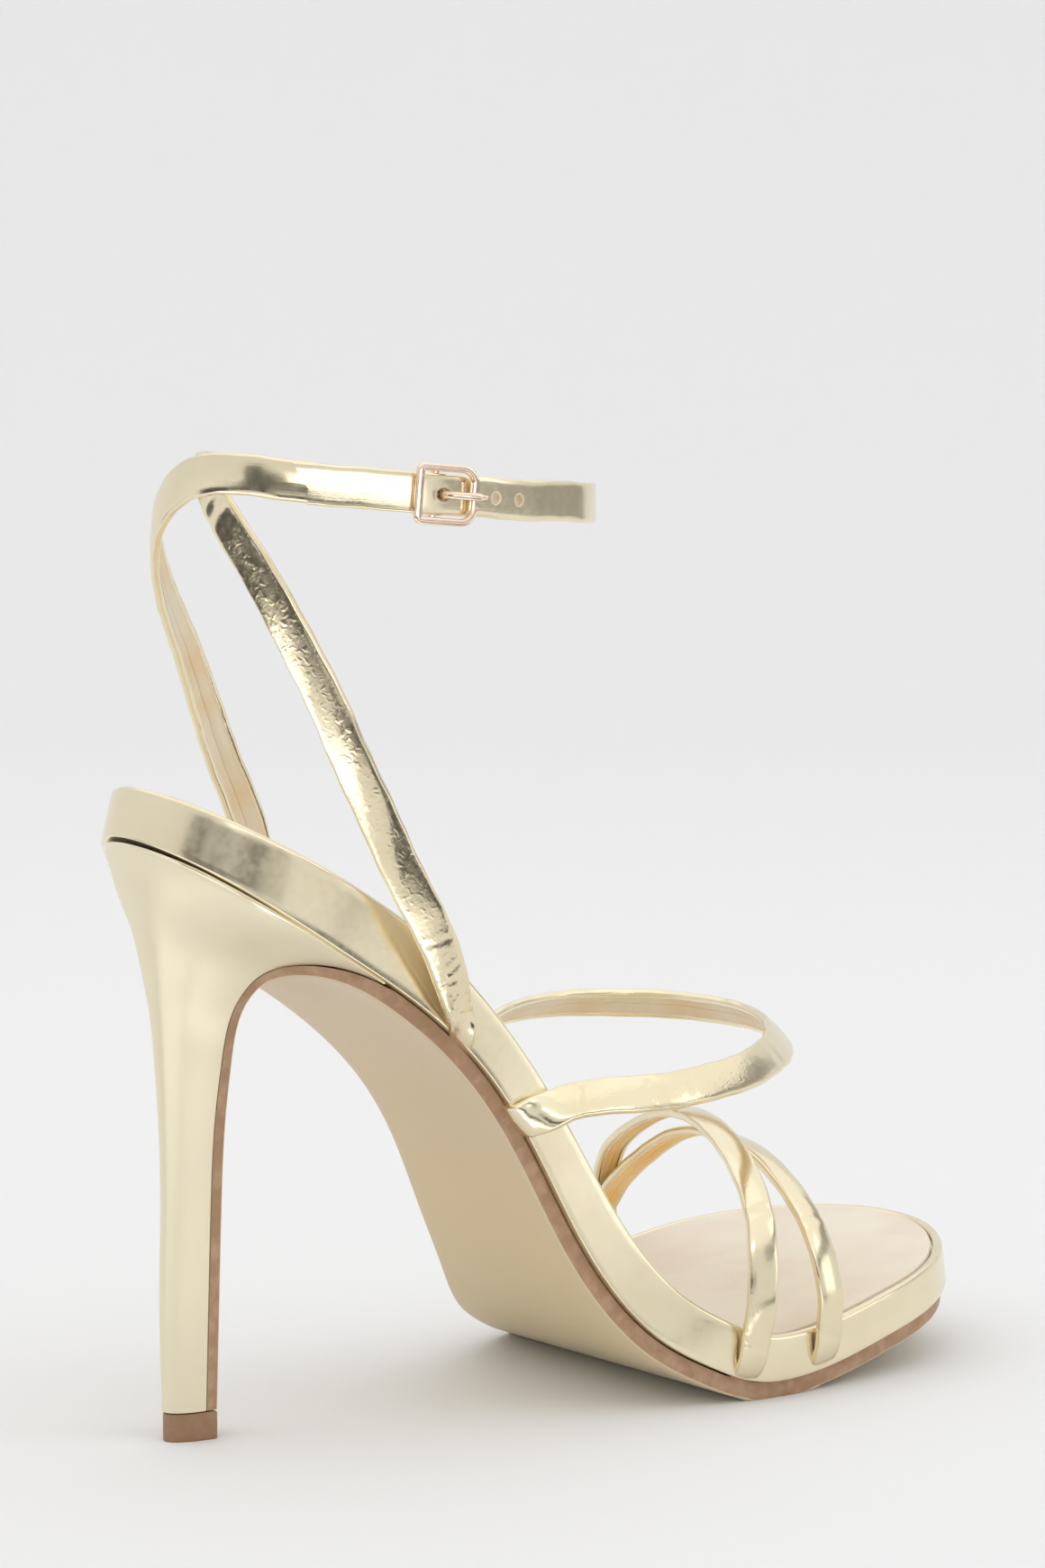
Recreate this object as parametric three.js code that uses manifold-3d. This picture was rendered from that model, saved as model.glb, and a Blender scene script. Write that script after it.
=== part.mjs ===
// Strappy stiletto sandal for the right foot, in millimetres.
// X runs from the heel to the toes, Y to the inner side of the foot, Z up.
// The origin is the middle of the heel tip's floor face.

import * as THREE from "three";
import { mergeVertices } from "three/addons/utils/BufferGeometryUtils.js";
import Module from "manifold-3d";

const wasm = await Module();
wasm.setup();

// Driving sizes of the last
const SOLE_LENGTH = 180; // level length that the sole tables are shares of
const SEAT_BACK = 12; // how far the sole tables start behind the heel tip
const HEEL_HEIGHT = 106; // floor to the back of the footbed's underside
const SOLE_WIDTH = 78; // about the width across the ball
const SEAT_ROUND = 32;
const SEAT_REACH = 1.2; // how far the seat rounds on behind the first row of the sole table
const TOE_ROUND = 35;
const TOE_POWER = 2.2;

// Thicknesses and clearances
const FOOTBED_THICK = 9;
const LIP_WIDTH = 1.8;
const LIP_ROUND = 0.8;
const SOCK_THICK = 1;
const SOCK_RECESS = 1.1;
const SEAT_DISH = 1.3;
const WALL_FLARE = 2.6; // how far the seat's wall leans out at its top edge
const FLARE_LENGTH = 45;
const OUTSOLE_THICK = 3.2;
const OUTSOLE_INSET = 1.4;
const EDGE_ROUND = 0.6;
const TREAD_SNAP = 0.3; // how near the floor the tread has to come to be ground flat
const FIT_GAP = 0.3;

// Heel
const STEM_UNIT = 10; // the heel table's fore and aft columns are shares of this
const SEAT_HALF = 25;
const STEM_POWER = 2.2;
const TIP_HEIGHT = 4.9;
const TIP_FRONT = 4.2;
const TIP_BACK = -4.4;
const TIP_HALF = 3.5;
const TIP_EDGE = 0.3;

// Straps
const STRAP_THICK = 1.6;
const STRAP_EDGE = 0.45;
const ANKLE_STRAP_WIDTH = 7;
const INSTEP_STRAP_WIDTH = 7;
const TOE_STRAP_WIDTH = 5.5;
const STRAP_STEP = 4.4;
const COLLAR_LENGTH = 83;
const COLLAR_WIDTH = 58;
const COLLAR_HEIGHT = 168;
const INSTEP_LENGTH = 76;
const INSTEP_WIDTH = 74;
const INSTEP_HEIGHT = 60;
const TOE_STRAP_REACH = 124;
const TOE_STRAP_SPAN = 80;
const TOE_STRAP_HEIGHT = 46;
const TAIL_SLANT = -0.7;
const HOLE_RADIUS = 0.8;
const PRONG_HOLE_RADIUS = 1.3;
const HOLE_PITCH = 5.3;
const SPARE_HOLES = [2, 3];

// Buckle
const BUCKLE_ROW = 28; // row of the outer ankle strap's table at the middle of the buckle
const BUCKLE_LENGTH = 11.8;
const BUCKLE_WIDTH = 10.4;
const FRAME_BAR = 1.35;
const FRAME_BEVEL = 0.3;
const CENTRE_BAR_RADIUS = 0.75;
const LEG = 1.3;
const FOLD_THICK = 1;
const PRONG_WIDTH = 1.3;
const PRONG_THICK = 1.2;
const PRONG_EYE = 0.9;

// Underside of the footbed from the seat to the toe, with the half widths of the last above it
const FOOTBED_ROWS = [
  { along: 0, up: 0.997, lateral: 0.321, medial: 0.303, thick: 0.98 },
  { along: 0.067, up: 0.92, lateral: 0.324, medial: 0.305, thick: 1.09 },
  { along: 0.144, up: 0.832, lateral: 0.328, medial: 0.303, thick: 1.21 },
  { along: 0.222, up: 0.748, lateral: 0.327, medial: 0.282, thick: 1.18 },
  { along: 0.288, up: 0.662, lateral: 0.326, medial: 0.246, thick: 1 },
  { along: 0.341, up: 0.563, lateral: 0.331, medial: 0.213, thick: 0.91 },
  { along: 0.378, up: 0.458, lateral: 0.349, medial: 0.2, thick: 0.93 },
  { along: 0.414, up: 0.328, lateral: 0.379, medial: 0.21, thick: 1 },
  { along: 0.454, up: 0.214, lateral: 0.408, medial: 0.256, thick: 1.03 },
  { along: 0.504, up: 0.123, lateral: 0.444, medial: 0.359, thick: 1.02 },
  { along: 0.561, up: 0.067, lateral: 0.469, medial: 0.451, thick: 0.99 },
  { along: 0.609, up: 0.036, lateral: 0.479, medial: 0.503, thick: 0.96 },
  { along: 0.671, up: 0.033, lateral: 0.482, medial: 0.515, thick: 0.92 },
  { along: 0.741, up: 0.054, lateral: 0.474, medial: 0.513, thick: 0.89 },
  { along: 0.818, up: 0.085, lateral: 0.451, medial: 0.5, thick: 0.86 },
  { along: 0.908, up: 0.115, lateral: 0.404, medial: 0.474, thick: 0.81 },
  { along: 0.998, up: 0.138, lateral: 0.321, medial: 0.429, thick: 0.78 },
];

// Heel from the tip up to the seat: the breast line, its half widths and the back line
const HEEL_ROWS = [
  { front: 0.2, frontUp: 0.049, lateral: 0.136, medial: 0.136, back: -0.45, backUp: 0.049, seat: 0, sole: 0.7 },
  { front: 0.23, frontUp: 0.245, lateral: 0.158, medial: 0.158, back: -0.48, backUp: 0.245, seat: 0, sole: 0.7 },
  { front: 0.27, frontUp: 0.396, lateral: 0.168, medial: 0.168, back: -0.44, backUp: 0.396, seat: 0, sole: 0.7 },
  { front: 0.33, frontUp: 0.547, lateral: 0.2, medial: 0.2, back: -0.47, backUp: 0.547, seat: 0, sole: 0.68 },
  { front: 0.4, frontUp: 0.632, lateral: 0.24, medial: 0.24, back: -0.52, backUp: 0.632, seat: 0, sole: 0.64 },
  { front: 0.48, frontUp: 0.698, lateral: 0.292, medial: 0.292, back: -0.59, backUp: 0.712, seat: 0.05, sole: 0.6 },
  { front: 0.66, frontUp: 0.751, lateral: 0.396, medial: 0.396, back: -0.7, backUp: 0.783, seat: 0.15, sole: 0.56 },
  { front: 0.94, frontUp: 0.781, lateral: 0.512, medial: 0.504, back: -0.83, backUp: 0.844, seat: 0.35, sole: 0.55 },
  { front: 1.4, frontUp: 0.793, lateral: 0.72, medial: 0.692, back: -0.98, backUp: 0.896, seat: 0.6, sole: 0.6 },
  { front: 1.96, frontUp: 0.784, lateral: 0.888, medial: 0.808, back: -1.12, backUp: 0.948, seat: 0.85, sole: 0.75 },
  { front: 2.6, frontUp: 0.757, lateral: 0.96, medial: 0.832, back: -1.2, backUp: 0.993, seat: 1, sole: 0.92 },
];

// Ankle strap from its tuck on the outer side, up behind the ankle, round it and through the buckle.
// Turn is how far the face has turned towards the underside of the footbed.
const OUTER_ANKLE_ROWS = [
  { along: 0.543, out: -0.345, up: 0.392, turn: 1, wide: 0.6 },
  { along: 0.522, out: -0.386, up: 0.403, turn: 1, wide: 0.6 },
  { along: 0.5, out: -0.431, up: 0.416, turn: 0.7, wide: 0.62 },
  { along: 0.481, out: -0.462, up: 0.436, turn: 0.2, wide: 0.75 },
  { along: 0.453, out: -0.488, up: 0.464, turn: 0, wide: 0.9 },
  { along: 0.417, out: -0.514, up: 0.501, turn: 0, wide: 1 },
  { along: 0.354, out: -0.54, up: 0.549, turn: 0, wide: 1 },
  { along: 0.255, out: -0.533, up: 0.639, turn: 0, wide: 1 },
  { along: 0.172, out: -0.509, up: 0.727, turn: 0, wide: 1 },
  { along: 0.107, out: -0.457, up: 0.808, turn: 0, wide: 1 },
  { along: 0.051, out: -0.388, up: 0.876, turn: 0, wide: 1 },
  { along: 0.011, out: -0.321, up: 0.927, turn: 0, wide: 1 },
  { along: -0.017, out: -0.264, up: 0.963, turn: 0, wide: 1 },
  { along: -0.023, out: -0.21, up: 0.989, turn: 0, wide: 1 },
  { along: 0, out: -0.109, up: 1.001, turn: 0, wide: 1 },
  { along: 0.078, out: 0.026, up: 1.001, turn: 0, wide: 1 },
  { along: 0.193, out: 0.172, up: 0.998, turn: 0, wide: 1 },
  { along: 0.337, out: 0.284, up: 0.992, turn: 0, wide: 1 },
  { along: 0.494, out: 0.321, up: 0.985, turn: 0, wide: 1 },
  { along: 0.663, out: 0.269, up: 0.977, turn: 0, wide: 1 },
  { along: 0.795, out: 0.141, up: 0.971, turn: 0, wide: 1 },
  { along: 0.873, out: -0.031, up: 0.968, turn: 0, wide: 1 },
  { along: 0.899, out: -0.207, up: 0.966, turn: 0, wide: 1 },
  { along: 0.863, out: -0.376, up: 0.966, turn: 0, wide: 1 },
  { along: 0.778, out: -0.517, up: 0.968, turn: 0, wide: 1 },
  { along: 0.67, out: -0.61, up: 0.971, turn: 0, wide: 1 },
  { along: 0.552, out: -0.666, up: 0.973, turn: 0, wide: 1 },
  { along: 0.436, out: -0.69, up: 0.977, turn: 0, wide: 1 },
  { along: 0.323, out: -0.688, up: 0.981, turn: 0, wide: 1 },
  { along: 0.229, out: -0.653, up: 0.985, turn: 0, wide: 1 },
  { along: 0.142, out: -0.591, up: 0.989, turn: 0, wide: 1 },
  { along: 0.072, out: -0.516, up: 0.993, turn: 0, wide: 1 },
];

// Ankle strap from its tuck on the inner side, up behind the ankle and over the other one
const INNER_ANKLE_ROWS = [
  { along: 0.545, out: 0.21, up: 0.392, turn: 1, wide: 0.7 },
  { along: 0.529, out: 0.255, up: 0.401, turn: 1, wide: 0.7 },
  { along: 0.511, out: 0.3, up: 0.414, turn: 0.7, wide: 0.75 },
  { along: 0.496, out: 0.345, up: 0.442, turn: 0.2, wide: 0.9 },
  { along: 0.472, out: 0.383, up: 0.475, turn: 0, wide: 1 },
  { along: 0.434, out: 0.426, up: 0.518, turn: 0, wide: 1 },
  { along: 0.396, out: 0.443, up: 0.565, turn: 0, wide: 1 },
  { along: 0.346, out: 0.429, up: 0.628, turn: 0, wide: 1 },
  { along: 0.259, out: 0.395, up: 0.713, turn: 0, wide: 1 },
  { along: 0.164, out: 0.326, up: 0.802, turn: 0, wide: 1 },
  { along: 0.095, out: 0.266, up: 0.852, turn: 0, wide: 1 },
  { along: 0.039, out: 0.203, up: 0.894, turn: 0, wide: 1 },
  { along: -0.007, out: 0.122, up: 0.93, turn: 0, wide: 1 },
  { along: -0.03, out: 0.045, up: 0.958, turn: 0, wide: 1 },
  { along: -0.04, out: -0.055, up: 0.982, turn: 0, wide: 1 },
  { along: -0.043, out: -0.148, up: 0.994, turn: 0, wide: 1 },
  { along: -0.039, out: -0.25, up: 1.001, turn: 0, wide: 1 },
  { along: -0.012, out: -0.348, up: 1.002, turn: 0, wide: 1 },
];

// Instep strap from the outer side of the arch, round the front of the instep, to the inner side
const INSTEP_ROWS = [
  { along: 0.682, out: -0.278, up: 0.957, turn: 1, wide: 1 },
  { along: 0.696, out: -0.316, up: 0.93, turn: 1, wide: 1 },
  { along: 0.711, out: -0.354, up: 0.908, turn: 0.7, wide: 1 },
  { along: 0.742, out: -0.391, up: 0.927, turn: 0.15, wide: 1 },
  { along: 0.8, out: -0.431, up: 0.958, turn: 0, wide: 1 },
  { along: 0.9, out: -0.478, up: 0.972, turn: 0, wide: 1 },
  { along: 1.034, out: -0.503, up: 0.98, turn: 0, wide: 1 },
  { along: 1.184, out: -0.486, up: 0.99, turn: 0, wide: 1 },
  { along: 1.355, out: -0.419, up: 1.007, turn: 0, wide: 1 },
  { along: 1.513, out: -0.297, up: 1.027, turn: 0, wide: 1 },
  { along: 1.632, out: -0.135, up: 1.043, turn: 0, wide: 1 },
  { along: 1.691, out: 0.054, up: 1.053, turn: 0, wide: 1 },
  { along: 1.684, out: 0.23, up: 1.057, turn: 0, wide: 1 },
  { along: 1.605, out: 0.372, up: 1.06, turn: 0, wide: 1 },
  { along: 1.461, out: 0.454, up: 1.065, turn: 0, wide: 1 },
  { along: 1.289, out: 0.453, up: 1.065, turn: 0, wide: 1 },
  { along: 1.125, out: 0.386, up: 1.047, turn: 0, wide: 1 },
  { along: 0.98, out: 0.309, up: 1.003, turn: 0, wide: 1 },
  { along: 0.882, out: 0.27, up: 0.94, turn: 0, wide: 1 },
  { along: 0.813, out: 0.242, up: 0.865, turn: 0.15, wide: 1 },
  { along: 0.766, out: 0.211, up: 0.812, turn: 0.7, wide: 1 },
  { along: 0.751, out: 0.168, up: 0.805, turn: 1, wide: 1 },
  { along: 0.749, out: 0.122, up: 0.81, turn: 1, wide: 1 },
];

// Rear toe strap, from the outer edge of the ball over to the inner edge
const REAR_TOE_ROWS = [
  { along: 0.772, out: -0.381, up: 0.098, turn: 1, wide: 1 },
  { along: 0.772, out: -0.43, up: 0.098, turn: 1, wide: 1 },
  { along: 0.773, out: -0.47, up: 0.137, turn: 0.6, wide: 1 },
  { along: 0.776, out: -0.486, up: 0.239, turn: 0.1, wide: 1 },
  { along: 0.784, out: -0.492, up: 0.391, turn: 0, wide: 1 },
  { along: 0.798, out: -0.47, up: 0.609, turn: 0, wide: 1 },
  { along: 0.819, out: -0.394, up: 0.809, turn: 0, wide: 1 },
  { along: 0.847, out: -0.25, up: 0.957, turn: 0, wide: 1 },
  { along: 0.879, out: -0.087, up: 1.017, turn: 0, wide: 1 },
  { along: 0.903, out: 0.075, up: 1, turn: 0, wide: 1 },
  { along: 0.919, out: 0.237, up: 0.904, turn: 0, wide: 1 },
  { along: 0.935, out: 0.369, up: 0.757, turn: 0, wide: 1 },
  { along: 0.964, out: 0.46, up: 0.565, turn: 0, wide: 1 },
  { along: 0.994, out: 0.514, up: 0.38, turn: 0, wide: 1 },
  { along: 1.015, out: 0.519, up: 0.265, turn: 0.1, wide: 1 },
  { along: 1.026, out: 0.496, up: 0.185, turn: 0.6, wide: 1 },
  { along: 1.028, out: 0.455, up: 0.152, turn: 1, wide: 1 },
  { along: 1.028, out: 0.406, up: 0.152, turn: 1, wide: 1 },
];

// Front toe strap, which crosses the rear one above the inner edge
const FRONT_TOE_ROWS = [
  { along: 0.915, out: -0.375, up: 0.107, turn: 1, wide: 1 },
  { along: 0.915, out: -0.425, up: 0.107, turn: 1, wide: 1 },
  { along: 0.915, out: -0.469, up: 0.139, turn: 0.6, wide: 1 },
  { along: 0.915, out: -0.486, up: 0.235, turn: 0.1, wide: 1 },
  { along: 0.915, out: -0.491, up: 0.37, turn: 0, wide: 1 },
  { along: 0.915, out: -0.463, up: 0.554, turn: 0, wide: 1 },
  { along: 0.919, out: -0.375, up: 0.728, turn: 0, wide: 1 },
  { along: 0.931, out: -0.225, up: 0.865, turn: 0, wide: 1 },
  { along: 0.944, out: -0.05, up: 0.917, turn: 0, wide: 1 },
  { along: 0.953, out: 0.125, up: 0.891, turn: 0, wide: 1 },
  { along: 0.958, out: 0.263, up: 0.778, turn: 0, wide: 1 },
  { along: 0.962, out: 0.388, up: 0.63, turn: 0, wide: 1 },
  { along: 0.964, out: 0.472, up: 0.47, turn: 0, wide: 1 },
  { along: 0.961, out: 0.515, up: 0.335, turn: 0, wide: 1 },
  { along: 0.96, out: 0.519, up: 0.25, turn: 0.1, wide: 1 },
  { along: 0.96, out: 0.5, up: 0.159, turn: 0.6, wide: 1 },
  { along: 0.96, out: 0.46, up: 0.124, turn: 1, wide: 1 },
  { along: 0.96, out: 0.408, up: 0.122, turn: 1, wide: 1 },
];

// The lines that the straps wrap round: a strap's face looks away from the nearest one
const ANKLE_CORE = { along: 0.446, out: -0.172 };
const INNER_RISER_CORE = { along: 0.27, out: -0.172 };
const INSTEP_CORE = { along: 1.18, up: 0.5 };
const TOE_CORE = { along: 0.903, up: 0.174 };

const lerp = THREE.MathUtils.lerp;
const clamp = THREE.MathUtils.clamp;
const smooth = THREE.MathUtils.smoothstep;

// A smooth curve through the points (xs, ys), as a function of x
function spline(xs, ys) {
  const n = xs.length;
  const bend = new Array(n).fill(0);
  const carry = new Array(n).fill(0);
  for (let i = 1; i < n - 1; i++) {
    const share = (xs[i] - xs[i - 1]) / (xs[i + 1] - xs[i - 1]);
    const pivot = share * bend[i - 1] + 2;
    const turn = (ys[i + 1] - ys[i]) / (xs[i + 1] - xs[i]) - (ys[i] - ys[i - 1]) / (xs[i] - xs[i - 1]);
    bend[i] = (share - 1) / pivot;
    carry[i] = ((6 * turn) / (xs[i + 1] - xs[i - 1]) - share * carry[i - 1]) / pivot;
  }
  for (let i = n - 2; i > 0; i--) bend[i] = bend[i] * bend[i + 1] + carry[i];
  bend[0] = 0;
  bend[n - 1] = 0;
  return (x) => {
    let i = 0;
    while (i < n - 2 && x > xs[i + 1]) i++;
    const h = xs[i + 1] - xs[i];
    const a = (xs[i + 1] - x) / h;
    const b = (x - xs[i]) / h;
    if (a > 1 || b > 1) {
      const end = a > 1 ? 0 : n - 1;
      const side = a > 1 ? 1 : n - 2;
      const slope = (ys[i + 1] - ys[i]) / h + ((a > 1 ? -1 : 1) * h * bend[side]) / 6;
      return ys[end] + slope * (x - xs[end]);
    }
    return a * ys[i] + b * ys[i + 1] + ((a ** 3 - a) * bend[i] + (b ** 3 - b) * bend[i + 1]) * h * h / 6;
  };
}

// A side-view line through points in x and z, read by its length, with its upward normal
function makeRail(points) {
  const knots = [0];
  for (let i = 1; i < points.length; i++) {
    knots.push(knots[i - 1] + points[i].distanceTo(points[i - 1]));
  }
  const xAt = spline(knots, points.map((p) => p.x));
  const zAt = spline(knots, points.map((p) => p.y));
  const point = (s) => new THREE.Vector2(xAt(s), zAt(s));
  const normal = (s) => {
    const along = point(s + 0.05).sub(point(s - 0.05)).normalize();
    return new THREE.Vector2(-along.y, along.x);
  };
  const at = (s, y, h) => {
    const p = point(s).addScaledVector(normal(s), h);
    return new THREE.Vector3(p.x, y, p.y);
  };
  return { knots, point, normal, at, length: knots[knots.length - 1] };
}

// A closed solid from rings stacked in order, each ring anticlockwise seen from the last one.
// Cap points across each end can be moved by a function.
function stack(rings, bottomShift, topShift) {
  const index = new Map();
  const positions = [];
  const faces = [];
  const vertex = (p) => {
    const key = [p.x, p.y, p.z].map((v) => Math.round(v * 5000)).join();
    if (!index.has(key)) {
      index.set(key, positions.length / 3);
      positions.push(p.x, p.y, p.z);
    }
    return index.get(key);
  };
  const triangle = (a, b, c) => {
    const ids = [vertex(a), vertex(b), vertex(c)];
    if (new Set(ids).size === 3) faces.push(...ids);
  };
  const quad = (a, b, c, d) => {
    triangle(a, b, c);
    triangle(a, c, d);
  };
  const count = rings[0].length;
  for (let k = 0; k + 1 < rings.length; k++) {
    for (let j = 0; j < count; j++) {
      const next = (j + 1) % count;
      quad(rings[k][j], rings[k][next], rings[k + 1][next], rings[k + 1][j]);
    }
  }
  const cap = (ring, shift, facing) => {
    const shares = shift ? [0, 0.15, 0.35, 0.5, 0.65, 0.85, 1] : [0, 1];
    const row = (j) => shares.map((u) => {
      const p = ring[j].clone().lerp(ring[count - 1 - j], u);
      return shift && u > 0 && u < 1 ? shift(p, u) : p;
    });
    for (let j = 0; j < Math.floor((count - 1) / 2); j++) {
      const here = row(j);
      const next = row(j + 1);
      for (let u = 0; u + 1 < shares.length; u++) {
        if (facing > 0) quad(here[u], next[u], next[u + 1], here[u + 1]);
        else quad(here[u], here[u + 1], next[u + 1], next[u]);
      }
    }
  };
  cap(rings[0], bottomShift, -1);
  cap(rings[rings.length - 1], topShift, 1);
  return new wasm.Manifold(
    new wasm.Mesh({
      numProp: 3,
      vertProperties: new Float32Array(positions),
      triVerts: new Uint32Array(faces),
    }),
  );
}

// The solid of a three.js geometry
function solidFrom(geometry) {
  geometry.deleteAttribute("normal");
  geometry.deleteAttribute("uv");
  const merged = mergeVertices(geometry, 1e-4);
  return new wasm.Manifold(
    new wasm.Mesh({
      numProp: 3,
      vertProperties: merged.attributes.position.array,
      triVerts: new Uint32Array(merged.index.array),
    }),
  );
}

// The last: the footbed's underside and its outline
const footbedRail = makeRail(
  FOOTBED_ROWS.map((r) => new THREE.Vector2(r.along * SOLE_LENGTH - SEAT_BACK, r.up * HEEL_HEIGHT)),
);
const column = (rail, rows, name, size) => spline(rail.knots, rows.map((r) => r[name] * size));
const lateralHalf = column(footbedRail, FOOTBED_ROWS, "lateral", SOLE_WIDTH);
const medialHalf = column(footbedRail, FOOTBED_ROWS, "medial", SOLE_WIDTH);
const footbedThick = column(footbedRail, FOOTBED_ROWS, "thick", FOOTBED_THICK);
const soleEnd = footbedRail.length;

// Half width left by the rounding of the seat and the toe
function endRound(s) {
  const seat = clamp(1 - (s + SEAT_REACH) / SEAT_ROUND, 0, 1);
  const toe = clamp(1 - (soleEnd - s) / TOE_ROUND, 0, 1);
  return Math.sqrt(1 - seat ** 2) * (1 - toe ** TOE_POWER) ** (1 / TOE_POWER);
}

function outlineSides(s) {
  const half = ((lateralHalf(s) + medialHalf(s)) / 2) * endRound(s);
  const middle = (medialHalf(s) - lateralHalf(s)) / 2;
  return { lateral: middle - half, medial: middle + half };
}

// Stations along the sole, closer together where the ends round
function soleStations() {
  const list = [];
  const seatEnd = SEAT_ROUND - SEAT_REACH;
  for (let i = 0; i < 8; i++) list.push(seatEnd - SEAT_ROUND * Math.cos((i * Math.PI) / 16));
  const middle = 30;
  const span = soleEnd - seatEnd - TOE_ROUND;
  for (let i = 0; i <= middle; i++) list.push(seatEnd + (span * i) / middle);
  for (let i = 7; i >= 0; i--) list.push(soleEnd - TOE_ROUND * (1 - Math.cos((i * Math.PI) / 16)));
  return list;
}

// The outline as a ring of length and width, lateral side first, moved inwards by an inset
function outlineRing(inset) {
  const stations = soleStations();
  const lateral = stations.map((s) => new THREE.Vector2(s, outlineSides(s).lateral));
  const medial = stations.map((s) => new THREE.Vector2(s, outlineSides(s).medial));
  const loop = [...lateral, ...medial.slice(1, -1).reverse()];
  const moved = loop.map((p, i) => {
    const before = loop[(i + loop.length - 1) % loop.length];
    const after = loop[(i + 1) % loop.length];
    const along = after.clone().sub(before).normalize();
    return p.clone().add(new THREE.Vector2(-along.y, along.x).multiplyScalar(inset(p.x)));
  });
  const ring = moved.slice(0, stations.length);
  ring.push(moved[stations.length - 1].clone());
  ring.push(...moved.slice(stations.length), moved[0].clone());
  return ring;
}

// A ring of the footbed at a height given by a function of length
function footbedRing(inset, height) {
  const lean = (s) => WALL_FLARE * (1 - smooth(s, 0, FLARE_LENGTH)) * clamp(height(s) / footbedThick(s), 0, 1);
  return outlineRing((s) => inset - lean(s)).map((p) => footbedRail.at(p.x, p.y, height(p.x)));
}

// Moves points across a cap down into the dish that the heel of the foot sits in
function dish(p, u) {
  const depth = SEAT_DISH * (1 - smooth(p.x, 10, 45)) * 4 * u * (1 - u);
  return p.setZ(p.z - depth);
}

const RECESS_DRAFT = 0.1;
function makeFootbed() {
  const top = footbedThick;
  return stack(
    [
      footbedRing(EDGE_ROUND, () => 0),
      footbedRing(0, () => EDGE_ROUND),
      footbedRing(0, (s) => top(s) - LIP_ROUND),
      footbedRing(LIP_ROUND * 0.3, (s) => top(s) - LIP_ROUND * 0.3),
      footbedRing(LIP_ROUND, top),
      footbedRing(LIP_WIDTH, top),
      footbedRing(LIP_WIDTH + RECESS_DRAFT, (s) => top(s) - SOCK_RECESS),
    ],
    null,
    dish,
  );
}

function makeSock() {
  const inset = LIP_WIDTH + RECESS_DRAFT + FIT_GAP;
  const floor = (s) => footbedThick(s) - SOCK_RECESS + FIT_GAP;
  return stack(
    [
      footbedRing(inset, floor),
      footbedRing(inset, (s) => floor(s) + SOCK_THICK * 0.7),
      footbedRing(inset + 0.3, (s) => floor(s) + SOCK_THICK),
    ],
    dish,
    dish,
  );
}

// The breast line of the heel, which runs on into the underside of the arch
const seatStart = footbedRail.knots[3];
const breastRail = makeRail([
  ...HEEL_ROWS.map((r) => new THREE.Vector2(r.front * STEM_UNIT, r.frontUp * HEEL_HEIGHT)),
  ...footbedRail.knots.slice(4, 9).map((s) => footbedRail.point(s)),
]);
const breastLength = breastRail.knots[HEEL_ROWS.length - 1];
const heelColumn = (name, size) => {
  const knots = breastRail.knots.slice(0, HEEL_ROWS.length);
  return spline(knots, HEEL_ROWS.map((r) => r[name] * size));
};
const heelLateral = heelColumn("lateral", SEAT_HALF);
const heelMedial = heelColumn("medial", SEAT_HALF);
const heelBack = heelColumn("back", STEM_UNIT);
const heelBackUp = heelColumn("backUp", HEEL_HEIGHT);
const heelSeat = heelColumn("seat", 1);
const breastSole = heelColumn("sole", OUTSOLE_THICK);

// Stations up the breast: wide apart on the stem, close together round its crown
function breastStations() {
  const list = [];
  const crown = breastRail.knots[5];
  for (let i = 0; i < 9; i++) list.push((crown * i) / 9);
  for (let i = 0; i <= 14; i++) list.push(lerp(crown, breastLength, i / 14));
  return list;
}

const HALF_TURN_STEPS = 20;
const power = (v, n) => Math.sign(v) * Math.abs(v) ** n;

// One ring of the heel: flat across the breast, rounded at the back, turning into the seat's outline
function heelRing(s) {
  const front = breastRail.point(s);
  const blend = clamp(heelSeat(s), 0, 1);
  const ring = [];
  for (let j = 0; j <= HALF_TURN_STEPS; j++) {
    const angle = Math.PI / 2 - (Math.PI * j) / HALF_TURN_STEPS;
    const station = seatStart - (seatStart + SEAT_REACH) * Math.cos(angle);
    const sides = outlineSides(station);
    const reach = outlineSides(seatStart);
    const medialSide = angle > 0;
    const seatShare = medialSide ? sides.medial / reach.medial : -sides.lateral / reach.lateral;
    const stemBack = power(Math.cos(angle), 2 / STEM_POWER);
    const stemShare = power(Math.sin(angle), 2 / STEM_POWER);
    const back = lerp(stemBack, Math.cos(angle), blend);
    const share = lerp(stemShare, Math.abs(angle) < 1e-6 ? 0 : seatShare, blend);
    const half = medialSide ? heelMedial(s) : heelLateral(s);
    ring.push(
      new THREE.Vector3(lerp(front.x, heelBack(s), back), share * half, lerp(front.y, heelBackUp(s), back)),
    );
  }
  return ring;
}

function makeHeel() {
  const rings = breastStations().map(heelRing);
  const solid = stack(rings);
  return largest(solid.subtract(footbedShell(FIT_GAP)));
}

// The footbed's body grown by a gap, to cut its neighbours back with
function footbedShell(gap) {
  const deep = FOOTBED_THICK * 3;
  return stack([
    footbedRing(-4, () => -gap),
    footbedRing(-4, () => deep),
  ]);
}

function makeTip() {
  const ring = (edge, z) => {
    const points = [];
    for (let j = 0; j <= HALF_TURN_STEPS; j++) {
      const angle = Math.PI / 2 - (Math.PI * j) / HALF_TURN_STEPS;
      const front = TIP_FRONT - edge;
      const back = TIP_BACK + edge;
      const half = TIP_HALF - edge;
      const x = lerp(front, back, power(Math.cos(angle), 2 / STEM_POWER));
      points.push(new THREE.Vector3(x, half * power(Math.sin(angle), 2 / STEM_POWER), z));
    }
    return points;
  };
  return stack([ring(TIP_EDGE, 0), ring(0, TIP_EDGE), ring(0, TIP_HEIGHT)]);
}

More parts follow.
